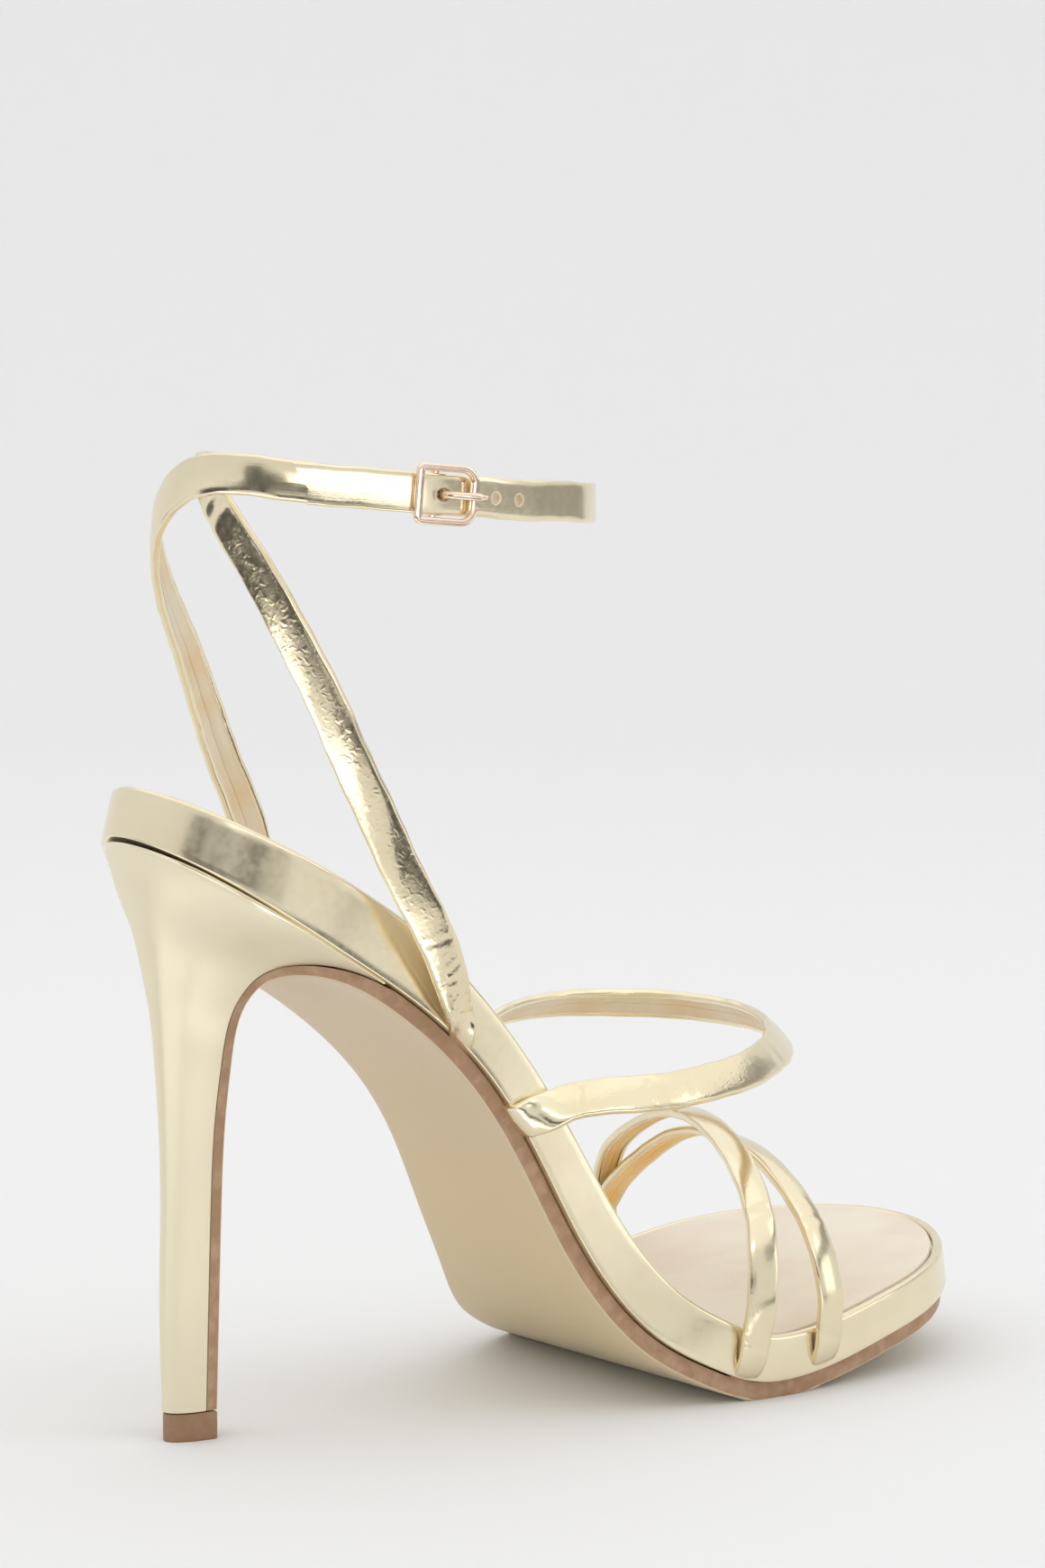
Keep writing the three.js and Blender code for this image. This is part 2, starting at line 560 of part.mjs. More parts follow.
// The outsole: a strip down the breast, then the outline of the sole drawn in a little
function makeOutsole() {
  const joinX = breastRail.point(breastLength).x + 2;
  const sole = outlineRing(() => OUTSOLE_INSET);
  const half = sole.length / 2;
  const lateral = sole.slice(0, half);
  const medial = sole.slice(half).reverse();
  const stations = breastStations().map((s) => ({
    rail: breastRail,
    lateral: new THREE.Vector2(s, -heelLateral(s)),
    medial: new THREE.Vector2(s, heelMedial(s)),
    thick: breastSole(s),
  }));
  lateral.forEach((p, i) => {
    if (footbedRail.point(Math.min(p.x, medial[i].x)).x < joinX) return;
    stations.push({ rail: footbedRail, lateral: p, medial: medial[i], thick: OUTSOLE_THICK });
  });
  const ring = (depth, inset) => {
    const side = (name, sign) => stations.map((t) => {
      const p = t[name];
      const narrow = Math.min(inset, Math.abs(t.medial.y - t.lateral.y) / 2);
      const point = t.rail.at(p.x, p.y + sign * narrow, -FIT_GAP - depth(t.thick));
      return point.setZ(point.z < TREAD_SNAP ? 0 : point.z);
    });
    return [...side("lateral", 1), ...side("medial", -1).reverse()];
  };
  return stack([
    ring((t) => t, EDGE_ROUND),
    ring((t) => t - EDGE_ROUND, 0),
    ring(() => 0, 0),
  ]);
}

// Points of a strap from its table, each with its face direction
function strapPoints(rows, size, core) {
  return rows.map((r) => {
    const p = new THREE.Vector3(r.along * size.length, r.out * size.width, r.up * size.height);
    const axis = new THREE.Vector3(
      core.along * size.length,
      core.out === undefined ? p.y * 0 : core.out * size.width,
      core.up === undefined ? p.z : core.up * size.height,
    );
    const away = p.clone().sub(axis).normalize();
    let s = 0;
    while (s < soleEnd && footbedRail.point(s).x < p.x) s += 0.5;
    const n = footbedRail.normal(s);
    const under = new THREE.Vector3(-n.x, 0, -n.y);
    const side = new THREE.Vector3(0, Math.sign(p.y), 0);
    const wall = away.lerp(side, smooth(r.turn, 0, 0.2));
    return { p, face: wall.lerp(under, smooth(r.turn, 0.2, 1)).normalize(), wide: r.wide, thick: 1 };
  });
}

// A path through strap points that gives position, direction, face and size at a length along it
function strapPath(points) {
  const knots = [0];
  for (let i = 1; i < points.length; i++) knots.push(knots[i - 1] + points[i].p.distanceTo(points[i - 1].p));
  const read = (pick) => spline(knots, points.map(pick));
  const px = read((q) => q.p.x);
  const py = read((q) => q.p.y);
  const pz = read((q) => q.p.z);
  const fx = read((q) => q.face.x);
  const fy = read((q) => q.face.y);
  const fz = read((q) => q.face.z);
  const wide = read((q) => q.wide);
  const thick = read((q) => q.thick);
  const at = (s) => {
    const p = new THREE.Vector3(px(s), py(s), pz(s));
    const along = new THREE.Vector3(px(s + 0.05), py(s + 0.05), pz(s + 0.05)).sub(p).normalize();
    const face = new THREE.Vector3(fx(s), fy(s), fz(s));
    face.addScaledVector(along, -face.dot(along)).normalize();
    const across = face.clone().cross(along);
    return { p, along, face, across, wide: wide(s), thick: thick(s) };
  };
  return { knots, at, length: knots[knots.length - 1] };
}

// A flat strap swept along a path, with rounded edges. Grow makes the tool that cuts its pocket.
function ribbon(path, width, options = {}) {
  const grow = options.grow ?? 0;
  const slant = options.slant ?? 0;
  const fine = options.fine ?? [];
  const stops = new Set([-grow, path.length + grow]);
  const steps = Math.round(path.length / STRAP_STEP);
  for (let i = 1; i < steps; i++) stops.add((path.length * i) / steps);
  for (const s of fine) stops.add(s);
  const sorted = [...stops].sort((a, b) => a - b);
  const stations = sorted.filter((s, i) => i === 0 || i === sorted.length - 1 || s - sorted[i - 1] > 0.25);
  const rings = stations.map((s, i) => {
    const f = path.at(s);
    const a = (width * f.wide) / 2 + grow;
    const b = (STRAP_THICK * f.thick) / 2 + grow;
    const c = Math.min(STRAP_EDGE, b * 0.7);
    const last = i === stations.length - 1;
    const section = [
      [a, -b + c],
      [a, b - c],
      [a - c, b],
      [-a + c, b],
      [-a, b - c],
      [-a, -b + c],
      [-a + c, -b],
      [a - c, -b],
    ];
    return section.map(([w, n]) =>
      f.p.clone()
        .addScaledVector(f.across, w)
        .addScaledVector(f.face, n)
        .addScaledVector(f.along, last ? slant * w : 0),
    );
  });
  return stack(rings);
}

// The ankle straps
const ankleSize = { length: COLLAR_LENGTH, width: COLLAR_WIDTH, height: COLLAR_HEIGHT };
const outerPath = strapPath(strapPoints(OUTER_ANKLE_ROWS, ankleSize, ANKLE_CORE));
const buckleAt = outerPath.knots[BUCKLE_ROW];
const buckle = outerPath.at(buckleAt);
const forward = buckle.along.clone().negate();
const upward = buckle.face.clone().cross(forward);
const layer = STRAP_THICK + FIT_GAP;
const foldRadius = CENTRE_BAR_RADIUS + FIT_GAP + FOLD_THICK / 2;
const barDepth = -layer + STRAP_THICK / 2 - FOLD_THICK / 2 - foldRadius;

// A point of the buckle: forward along the strap, outwards from it and up across it
function buckleSpot(ahead, out, up = 0) {
  return buckle.p.clone()
    .addScaledVector(forward, ahead)
    .addScaledVector(buckle.face, out)
    .addScaledVector(upward, up);
}

// The inner strap ends in a fold round the buckle's centre bar, under the other strap's free end
function innerPoints() {
  const points = strapPoints(INNER_ANKLE_ROWS, ankleSize, INNER_RISER_CORE);
  for (const behind of [27, 21.5, 16, 10.5, 5.5]) {
    const f = outerPath.at(buckleAt + behind);
    points.push({
      p: f.p.clone().addScaledVector(f.face, -layer),
      face: f.face.clone(),
      wide: 1,
      thick: lerp(1, FOLD_THICK / STRAP_THICK, smooth(-behind, -11, -4)),
    });
  }
  const bar = buckleSpot(0, barDepth);
  for (let i = 0; i <= 6; i++) {
    const angle = Math.PI / 2 - (Math.PI * i) / 6;
    const out = buckle.face.clone().multiplyScalar(Math.sin(angle)).addScaledVector(forward, Math.cos(angle));
    points.push({
      p: bar.clone().addScaledVector(out, foldRadius),
      face: out,
      wide: 1,
      thick: FOLD_THICK / STRAP_THICK,
    });
  }
  for (const [behind, out] of [[3, -4.4], [6.5, -3.7], [10, -3.4]]) {
    const f = outerPath.at(buckleAt + behind);
    points.push({
      p: f.p.clone().addScaledVector(f.face, out),
      face: f.face.clone().negate(),
      wide: 1,
      thick: FOLD_THICK / STRAP_THICK,
    });
  }
  return points;
}
const innerPath = strapPath(innerPoints());
const foldStart = INNER_ANKLE_ROWS.length + 5;
const foldStops = innerPath.knots.slice(foldStart, foldStart + 8);

// A round tool through the outer strap at a length along it
function holeTool(s, radius) {
  const f = outerPath.at(s);
  const tool = new THREE.CylinderGeometry(radius, radius, STRAP_THICK * 2, 12);
  const turn = new THREE.Matrix4().makeBasis(f.along, f.face, f.across.clone().negate());
  return solidFrom(tool.applyMatrix4(turn.setPosition(f.p)));
}

function buckleBox(ahead, out, up, length, depth, width) {
  const box = new THREE.BoxGeometry(length, depth, width);
  const turn = new THREE.Matrix4().makeBasis(forward, buckle.face, upward.clone().negate());
  return solidFrom(box.applyMatrix4(turn.setPosition(buckleSpot(ahead, out, up))));
}

function makeAnkleStraps() {
  let outer = ribbon(outerPath, ANKLE_STRAP_WIDTH, { slant: TAIL_SLANT });
  outer = outer.subtract(holeTool(buckleAt, PRONG_HOLE_RADIUS));
  for (const i of SPARE_HOLES) outer = outer.subtract(holeTool(buckleAt - i * HOLE_PITCH, HOLE_RADIUS));
  let inner = ribbon(innerPath, ANKLE_STRAP_WIDTH, { fine: foldStops });
  const slot = PRONG_WIDTH + 2 * FIT_GAP;
  inner = inner.subtract(buckleBox(0.6, barDepth + 1, 0, 6, 7, slot));
  return outer.add(inner);
}

function makeInstepStrap(options) {
  const size = { length: INSTEP_LENGTH, width: INSTEP_WIDTH, height: INSTEP_HEIGHT };
  return ribbon(strapPath(strapPoints(INSTEP_ROWS, size, INSTEP_CORE)), INSTEP_STRAP_WIDTH, options);
}

function makeToeStraps(options) {
  const size = { length: TOE_STRAP_REACH, width: TOE_STRAP_SPAN, height: TOE_STRAP_HEIGHT };
  const rear = ribbon(strapPath(strapPoints(REAR_TOE_ROWS, size, TOE_CORE)), TOE_STRAP_WIDTH, options);
  const front = ribbon(strapPath(strapPoints(FRONT_TOE_ROWS, size, TOE_CORE)), TOE_STRAP_WIDTH, options);
  return rear.add(front);
}

function makeBuckleFrame() {
  const outline = (length, width, rear, front) => {
    const shape = new THREE.Shape();
    const a = length / 2;
    const b = width / 2;
    shape.moveTo(-a + rear, -b);
    shape.lineTo(a - front, -b);
    shape.absarc(a - front, -b + front, front, -Math.PI / 2, 0);
    shape.absarc(a - front, b - front, front, 0, Math.PI / 2);
    shape.absarc(-a + rear, b - rear, rear, Math.PI / 2, Math.PI);
    shape.absarc(-a + rear, -b + rear, rear, Math.PI, Math.PI * 1.5);
    return shape;
  };
  const bevel = FRAME_BEVEL;
  const shape = outline(BUCKLE_LENGTH - 2 * bevel, BUCKLE_WIDTH - 2 * bevel, 1.2, 3);
  shape.holes.push(
    outline(BUCKLE_LENGTH - 2 * FRAME_BAR + 2 * bevel, BUCKLE_WIDTH - 2 * FRAME_BAR + 2 * bevel, 0.7, 1.8),
  );
  const ring = new THREE.ExtrudeGeometry(shape, {
    depth: FRAME_BAR - 2 * bevel,
    bevelThickness: bevel,
    bevelSize: bevel,
    bevelSegments: 1,
    curveSegments: 5,
  });
  const lift = STRAP_THICK / 2 + FIT_GAP + bevel;
  const turn = new THREE.Matrix4().makeBasis(forward, upward, buckle.face);
  const frame = solidFrom(ring.applyMatrix4(turn.setPosition(buckleSpot(0, lift))));
  const reach = (BUCKLE_WIDTH - LEG) / 2;
  const depth = lift + FRAME_BAR / 2 - barDepth + CENTRE_BAR_RADIUS;
  const middle = barDepth - CENTRE_BAR_RADIUS + depth / 2;
  const bar = new THREE.CylinderGeometry(CENTRE_BAR_RADIUS, CENTRE_BAR_RADIUS, 2 * reach, 16);
  const barTurn = new THREE.Matrix4().makeBasis(forward, upward, buckle.face);
  const barSolid = solidFrom(bar.applyMatrix4(barTurn.setPosition(buckleSpot(0, barDepth))));
  return frame
    .add(buckleBox(0, middle, reach, LEG, depth, LEG * 0.8))
    .add(buckleBox(0, middle, -reach, LEG, depth, LEG * 0.8))
    .add(barSolid);
}

// The prong: an eye round the centre bar, a stem through the strap and a tip on the front bar
function makeProng() {
  const half = PRONG_THICK / 2;
  const tipOut = STRAP_THICK / 2 + 2 * FIT_GAP + FRAME_BAR + half;
  const line = [
    { ahead: 0, out: barDepth + CENTRE_BAR_RADIUS + FIT_GAP + half },
    { ahead: 0, out: STRAP_THICK / 2 - 0.2 },
    { ahead: 0.5, out: STRAP_THICK / 2 + 1 },
    { ahead: 2, out: STRAP_THICK / 2 + 2.1 },
    { ahead: BUCKLE_LENGTH / 2 - FRAME_BAR - 0.4, out: tipOut },
    { ahead: BUCKLE_LENGTH / 2 - 0.2, out: tipOut },
    { ahead: BUCKLE_LENGTH / 2 + 1, out: tipOut - 0.1 },
  ];
  const points = line.map((r) => new THREE.Vector2(r.ahead, r.out));
  const side = (sign) => points.map((p, i) => {
    const before = points[Math.max(i - 1, 0)];
    const after = points[Math.min(i + 1, points.length - 1)];
    const along = after.clone().sub(before).normalize();
    const taper = i === points.length - 1 ? 0.6 : 1;
    return p.clone().add(new THREE.Vector2(-along.y, along.x).multiplyScalar(sign * half * taper));
  });
  const centred = (geometry) => {
    const turn = new THREE.Matrix4().makeBasis(forward, buckle.face, upward.clone().negate());
    return solidFrom(geometry.applyMatrix4(turn.setPosition(buckleSpot(0, 0, PRONG_WIDTH / 2))));
  };
  const stem = new THREE.Shape([...side(-1), ...side(1).reverse()]);
  const inside = CENTRE_BAR_RADIUS + FIT_GAP;
  const eye = new THREE.Shape().absarc(0, barDepth, inside + PRONG_EYE, 0, Math.PI * 2);
  const bore = new THREE.Shape().absarc(0, barDepth, inside, 0, Math.PI * 2);
  eye.holes.push(bore);
  const settings = { depth: PRONG_WIDTH, bevelEnabled: false, curveSegments: 10 };
  return centred(new THREE.ExtrudeGeometry(stem, settings)).add(
    centred(new THREE.ExtrudeGeometry(eye, settings)),
  );
}

// Materials
const goldLeather = new THREE.MeshStandardMaterial({ color: 0xcdbb90, roughness: 0.35, metalness: 0.7 });
const tanSole = new THREE.MeshStandardMaterial({ color: 0xcebc9e, roughness: 0.6, metalness: 0 });
const brownTip = new THREE.MeshStandardMaterial({ color: 0x916e50, roughness: 0.5, metalness: 0 });
const nudeLining = new THREE.MeshStandardMaterial({ color: 0xe8ded0, roughness: 0.7, metalness: 0 });
const roseMetal = new THREE.MeshStandardMaterial({ color: 0xd9b9a0, roughness: 0.2, metalness: 1 });

function meshOf(name, solid, material) {
  const data = solid.getMesh();
  const geometry = new THREE.BufferGeometry();
  const values = new Float32Array(data.numVert * 3);
  for (let i = 0; i < data.numVert; i++) {
    const start = i * data.numProp;
    values.set(data.vertProperties.subarray(start, start + 3), i * 3);
  }
  geometry.setAttribute("position", new THREE.BufferAttribute(values, 3));
  geometry.setIndex(new THREE.BufferAttribute(new Uint32Array(data.triVerts), 1));
  geometry.computeVertexNormals();
  const mesh = new THREE.Mesh(geometry, material);
  mesh.name = name;
  return mesh;
}

// The straps' tucks leave pockets in the footbed
const pockets = [
  ribbon(outerPath, ANKLE_STRAP_WIDTH, { grow: FIT_GAP }),
  ribbon(innerPath, ANKLE_STRAP_WIDTH, { grow: FIT_GAP, fine: foldStops }),
  makeInstepStrap({ grow: FIT_GAP }),
  makeToeStraps({ grow: FIT_GAP }),
];
const largest = (solid) => solid.decompose().sort((a, b) => b.volume() - a.volume())[0];
const cutBack = (solid) => largest(pockets.reduce((left, tool) => left.subtract(tool), solid));

const shoe = new THREE.Group();
shoe.add(
  meshOf("outsole", cutBack(makeOutsole()), tanSole),
  meshOf("heel", makeHeel(), goldLeather),
  meshOf("heel_tip", makeTip(), brownTip),
  meshOf("footbed", cutBack(makeFootbed()), goldLeather),
  meshOf("insole_sock", makeSock(), nudeLining),
  meshOf("ankle_straps", makeAnkleStraps(), goldLeather),
  meshOf("instep_strap", makeInstepStrap(), goldLeather),
  meshOf("toe_straps", makeToeStraps(), goldLeather),
  meshOf("buckle_frame", makeBuckleFrame(), roseMetal),
  meshOf("buckle_prong", makeProng(), roseMetal),
);

export default shoe;
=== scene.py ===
import math

import bmesh
import bpy
import numpy as np
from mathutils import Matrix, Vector


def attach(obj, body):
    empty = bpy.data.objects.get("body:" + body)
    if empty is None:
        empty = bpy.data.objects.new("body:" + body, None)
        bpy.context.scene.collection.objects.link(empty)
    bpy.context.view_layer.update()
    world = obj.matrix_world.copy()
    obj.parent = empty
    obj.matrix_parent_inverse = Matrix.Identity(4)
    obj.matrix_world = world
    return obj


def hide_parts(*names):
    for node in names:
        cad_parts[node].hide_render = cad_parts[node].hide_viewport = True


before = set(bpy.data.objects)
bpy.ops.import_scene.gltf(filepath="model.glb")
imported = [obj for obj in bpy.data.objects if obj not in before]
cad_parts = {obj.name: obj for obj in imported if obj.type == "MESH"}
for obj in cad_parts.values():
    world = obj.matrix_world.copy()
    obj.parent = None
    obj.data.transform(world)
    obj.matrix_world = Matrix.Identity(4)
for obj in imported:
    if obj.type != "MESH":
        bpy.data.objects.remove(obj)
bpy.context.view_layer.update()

# Footbed
# The board that the foot stands on, bent to the last's arch and wrapped in smooth gold foil leather.
# Its wall leans out a little round the seat, and its upper edge is rolled to a thin bright lip.

SOLE_LENGTH = 180
SEAT_BACK = 12
HEEL_HEIGHT = 106
SOLE_WIDTH = 78
SEAT_ROUND = 32
SEAT_REACH = 1.2
TOE_ROUND = 35
TOE_POWER = 2.2
FOOTBED_THICK = 9
LIP_WIDTH = 1.8
LIP_ROUND = 0.8
LIP_SLOPE = 0.25
LIP_DROP = 0.3
SOCK_RECESS = 1.1
RECESS_DRAFT = 0.1
SEAT_DISH = 1.3
WALL_FLARE = 2.6
FLARE_LENGTH = 45
EDGE_ROUND = 0.6
BAND_EDGE = 0.25
FIT_GAP = 0.3
GOLD = (0.88, 0.79, 0.575)
# Darker gold, used for random tone patches on the foil and as painted shade where the strap foil is
# crumpled.
GOLD_SHADE = (0.77, 0.65, 0.42)
WELD = 0.003

# along, up, lateral, medial, thick
FOOTBED_ROWS = [
    (0, 0.997, 0.321, 0.303, 0.98),
    (0.067, 0.92, 0.324, 0.305, 1.09),
    (0.144, 0.832, 0.328, 0.303, 1.21),
    (0.222, 0.748, 0.327, 0.282, 1.18),
    (0.288, 0.662, 0.326, 0.246, 1),
    (0.341, 0.563, 0.331, 0.213, 0.91),
    (0.378, 0.458, 0.349, 0.2, 0.93),
    (0.414, 0.328, 0.379, 0.21, 1),
    (0.454, 0.214, 0.408, 0.256, 1.03),
    (0.504, 0.123, 0.444, 0.359, 1.02),
    (0.561, 0.067, 0.469, 0.451, 0.99),
    (0.609, 0.036, 0.479, 0.503, 0.96),
    (0.671, 0.033, 0.482, 0.515, 0.92),
    (0.741, 0.054, 0.474, 0.513, 0.89),
    (0.818, 0.085, 0.451, 0.5, 0.86),
    (0.908, 0.115, 0.404, 0.474, 0.81),
    (0.998, 0.138, 0.321, 0.429, 0.78),
]


def unit(v):
    return v / np.linalg.norm(v, axis=-1, keepdims=True)


def smooth(x, low, high):
    t = np.clip((np.asarray(x, float) - low) / (high - low), 0, 1)
    return t * t * (3 - 2 * t)


def spline(xs, ys):
    """A smooth curve through the points, as a function of x. It runs on straight past its ends."""
    xs = np.asarray(xs, float)
    ys = np.asarray(ys, float)
    flat = ys.ndim == 1
    ys = ys.reshape(len(xs), -1)
    h = np.diff(xs)
    slope = np.diff(ys, axis=0) / h[:, None]
    system = np.eye(len(xs))
    wanted = np.zeros_like(ys)
    for i in range(1, len(xs) - 1):
        system[i, i - 1 : i + 2] = h[i - 1], 2 * (h[i - 1] + h[i]), h[i]
        wanted[i] = 6 * (slope[i] - slope[i - 1])
    bend = np.linalg.solve(system, wanted)

    def read(x):
        x = np.asarray(x, float)
        t = x.reshape(-1)
        i = np.clip(np.searchsorted(xs, t) - 1, 0, len(xs) - 2)
        a = ((xs[i + 1] - t) / h[i])[:, None]
        b = ((t - xs[i]) / h[i])[:, None]
        curve = (a**3 - a) * bend[i] + (b**3 - b) * bend[i + 1]
        value = a * ys[i] + b * ys[i + 1] + curve * h[i][:, None] ** 2 / 6
        first = ys[0] + (slope[0] - h[0] * bend[1] / 6) * (t - xs[0])[:, None]
        last = ys[-1] + (slope[-1] + h[-1] * bend[-2] / 6) * (t - xs[-1])[:, None]
        value = np.where(a > 1, first, np.where(b > 1, last, value))
        return value.reshape(x.shape if flat else (*x.shape, ys.shape[1]))

    return read


class Rail:
    """A line in side view that is read by its length, with points set off it along its normal."""

    def __init__(self, points):
        points = np.asarray(points, float)
        steps = np.linalg.norm(np.diff(points, axis=0), axis=1)
        self.knots = np.concatenate([[0], np.cumsum(steps)])
        self.point = spline(self.knots, points)
        self.length = self.knots[-1]

    def normal(self, s):
        along = unit(self.point(np.asarray(s) + 0.05) - self.point(np.asarray(s) - 0.05))
        return np.stack([-along[..., 1], along[..., 0]], -1)

    def at(self, s, y, h):
        p = self.point(s) + self.normal(s) * np.asarray(h, float)[..., None]
        return np.stack([p[..., 0], y, p[..., 1]], -1)


rows = np.array(FOOTBED_ROWS)
foot_rail = Rail(np.stack([rows[:, 0] * SOLE_LENGTH - SEAT_BACK, rows[:, 1] * HEEL_HEIGHT], 1))
half_widths = spline(foot_rail.knots, rows[:, 2:4] * SOLE_WIDTH)
footbed_thick = spline(foot_rail.knots, rows[:, 4] * FOOTBED_THICK)


def outline_sides(s):
    """Lateral and medial edge of the last at a length along it."""
    seat = np.clip(1 - (s + SEAT_REACH) / SEAT_ROUND, 0, 1)
    toe = np.clip(1 - (foot_rail.length - s) / TOE_ROUND, 0, 1)
    ends = np.sqrt(1 - seat**2) * (1 - toe**TOE_POWER) ** (1 / TOE_POWER)
    lateral, medial = half_widths(s)[..., 0], half_widths(s)[..., 1]
    middle = (medial - lateral) / 2
    half = (lateral + medial) / 2 * ends
    return middle - half, middle + half


def sole_stations(end_steps, middle_steps):
    seat_end = SEAT_ROUND - SEAT_REACH
    toe_start = foot_rail.length - TOE_ROUND
    turn = np.arange(end_steps) * math.pi / (2 * end_steps)
    return np.concatenate(
        [
            seat_end - SEAT_ROUND * np.cos(turn),
            np.linspace(seat_end, toe_start, middle_steps),
            (foot_rail.length - TOE_ROUND * (1 - np.cos(turn)))[::-1],
        ]
    )


STATIONS = sole_stations(26, 150)


def outline_ring(inset):
    """The outline as length and width, lateral side first, moved inwards."""
    lateral, medial = outline_sides(STATIONS)
    loop = np.concatenate(
        [
            np.stack([STATIONS, lateral], 1),
            np.stack([STATIONS, medial], 1)[1:-1][::-1],
        ]
    )
    along = unit(np.roll(loop, -1, 0) - np.roll(loop, 1, 0))
    inward = np.stack([-along[:, 1], along[:, 0]], 1)
    moved = loop + inward * np.broadcast_to(inset(loop[:, 0]), len(loop))[:, None]
    n = len(STATIONS)
    return np.concatenate([moved[:n], moved[n - 1 : n], moved[n:], moved[:1]])


def footbed_ring(inset, height):
    """The outline at a height above the footbed's underside. Height is a function of length."""

    def leaning(s):
        lean = WALL_FLARE * (1 - smooth(s, 0, FLARE_LENGTH))
        return inset - lean * np.clip(height(s) / footbed_thick(s), 0, 1)

    ring = outline_ring(leaning)
    return foot_rail.at(ring[:, 0], ring[:, 1], height(ring[:, 0]))


def quarter_round(radius, steps):
    """Pairs that round an edge off: how far inside one face, and how far inside the other."""
    turns = np.linspace(0, math.pi / 2, steps)
    return [(radius * (1 - math.sin(a)), radius * (1 - math.cos(a))) for a in turns]


def dish(points, share):
    """Lowers the middle of a cap to seat the heel of the foot."""
    depth = SEAT_DISH * (1 - smooth(points[:, 0], 10, 45)) * 4 * share * (1 - share)
    points = points.copy()
    points[:, 2] -= depth
    return points


def stack(rings, cap_rows=1, shifts=(None, None)):
    """Points and faces of a closed solid from rings in order. Each end is capped straight across.
    Columns after the third ride along, and hold what the materials read."""
    count = rings.shape[1]
    points = [rings.reshape(-1, rings.shape[2])]
    faces = []
    kinds = []
    for k in range(len(rings) - 1):
        for j in range(count):
            n = (j + 1) % count
            faces.append((k * count + j, k * count + n, (k + 1) * count + n, (k + 1) * count + j))
            kinds.append((k, j))
    total = rings.shape[0] * count
    for end, shift in zip((0, len(rings) - 1), shifts):
        ring = rings[end]
        half = count // 2
        grid = [[end * count + j for j in range(half)]]
        for u in range(1, cap_rows):
            share = u / cap_rows
            row = ring[:half] * (1 - share) + ring[::-1][:half] * share
            points.append(shift(row, share) if shift else row)
            grid.append(list(range(total, total + half)))
            total += half
        grid.append([end * count + count - 1 - j for j in range(half)])
        for u in range(cap_rows):
            for j in range(half - 1):
                a, b = grid[u][j], grid[u][j + 1]
                c, d = grid[u + 1][j + 1], grid[u + 1][j]
                faces.append((a, b, c, d) if end else (a, d, c, b))
                kinds.append((-1 if end == 0 else -2, j))
    return np.concatenate(points), faces, kinds


def new_object(name, data):
    thing = bpy.data.objects.new(name, data)
    bpy.context.scene.collection.objects.link(thing)
    return thing


def make_piece(name, points, faces, materials, slots=None, sharp=50, **layers):
    """A mesh object from points in millimetres, welded, shaded smooth and riding on the root body."""
    mesh = bpy.data.meshes.new(name)
    mesh.from_pydata((points[:, :3] * 0.001).tolist(), [], faces)
    for m in materials:
        mesh.materials.append(m)
    if slots is not None:
        mesh.polygons.foreach_set("material_index", slots)
    for layer, values in layers.items():
        values = np.asarray(values, np.float32)
        kind = "FLOAT_VECTOR" if values.ndim == 2 else "FLOAT"
        data = mesh.attributes.new(layer, kind, "POINT").data
        data.foreach_set("vector" if values.ndim == 2 else "value", values.ravel())
    bm = bmesh.new()
    bm.from_mesh(mesh)
    bmesh.ops.remove_doubles(bm, verts=bm.verts, dist=WELD * 0.001)
    bmesh.ops.dissolve_degenerate(bm, dist=1e-7, edges=bm.edges)
    bm.to_mesh(mesh)
    bm.free()
    mesh.shade_smooth()
    mesh.set_sharp_from_angle(angle=math.radians(sharp))
    piece = new_object(name, mesh)
    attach(piece, "root")
    return piece


def add_node(tree, kind, values=None, **settings):
    node = tree.nodes.new(kind)
    for key, value in settings.items():
        setattr(node, key, value)
    for key, value in (values or {}).items():
        if isinstance(value, bpy.types.NodeSocket):
            tree.links.new(value, node.inputs[key])
        else:
            node.inputs[key].default_value = value
    return node


def new_material(name, color, roughness, metallic=0.0):
    material = bpy.data.materials.new(name)
    material.use_nodes = True
    material.diffuse_color = (*color, 1)
    tree = material.node_tree
    shader = tree.nodes["Principled BSDF"]
    shader.inputs["Base Color"].default_value = (*color, 1)
    shader.inputs["Roughness"].default_value = roughness
    shader.inputs["Metallic"].default_value = metallic
    return material, tree, shader


def wire(tree, shader, **sockets):
    """Links sockets to the shader's inputs, each named for its input."""
    for name, socket in sockets.items():
        tree.links.new(socket, shader.inputs[name.replace("_", " ")])


def layer_of(tree, name, output="Fac"):
    return add_node(tree, "ShaderNodeAttribute", attribute_name=name).outputs[output]


def axis_of(tree, place, axis):
    return add_node(tree, "ShaderNodeSeparateXYZ", {"Vector": place}).outputs[axis]


def multiply(tree, first, second):
    return add_node(tree, "ShaderNodeMath", {0: first, 1: second}, operation="MULTIPLY").outputs[0]


def millimetres(tree, layer=None):
    """A place on the piece in millimetres: its own object coordinates, or a layer of its mesh."""
    if layer:
        return layer_of(tree, layer, "Vector")
    place = add_node(tree, "ShaderNodeTexCoord").outputs["Object"]
    scaled = add_node(tree, "ShaderNodeVectorMath", {0: place, "Scale": 1000}, operation="SCALE")
    return scaled.outputs["Vector"]


def noise(tree, place, scale, detail=3.0, roughness=0.55, stretch=(1, 1, 1)):
    if stretch != (1, 1, 1):
        mapping = add_node(tree, "ShaderNodeMapping", {"Vector": place, "Scale": stretch})
        place = mapping.outputs["Vector"]
    values = {"Vector": place, "Scale": scale, "Detail": detail, "Roughness": roughness}
    return add_node(tree, "ShaderNodeTexNoise", values).outputs["Fac"]


def remap(tree, value, low, high, to_low=0.0, to_high=1.0):
    values = {"Value": value, "From Min": low, "From Max": high, "To Min": to_low, "To Max": to_high}
    node = add_node(tree, "ShaderNodeMapRange", values, interpolation_type="SMOOTHSTEP")
    return node.outputs["Result"]


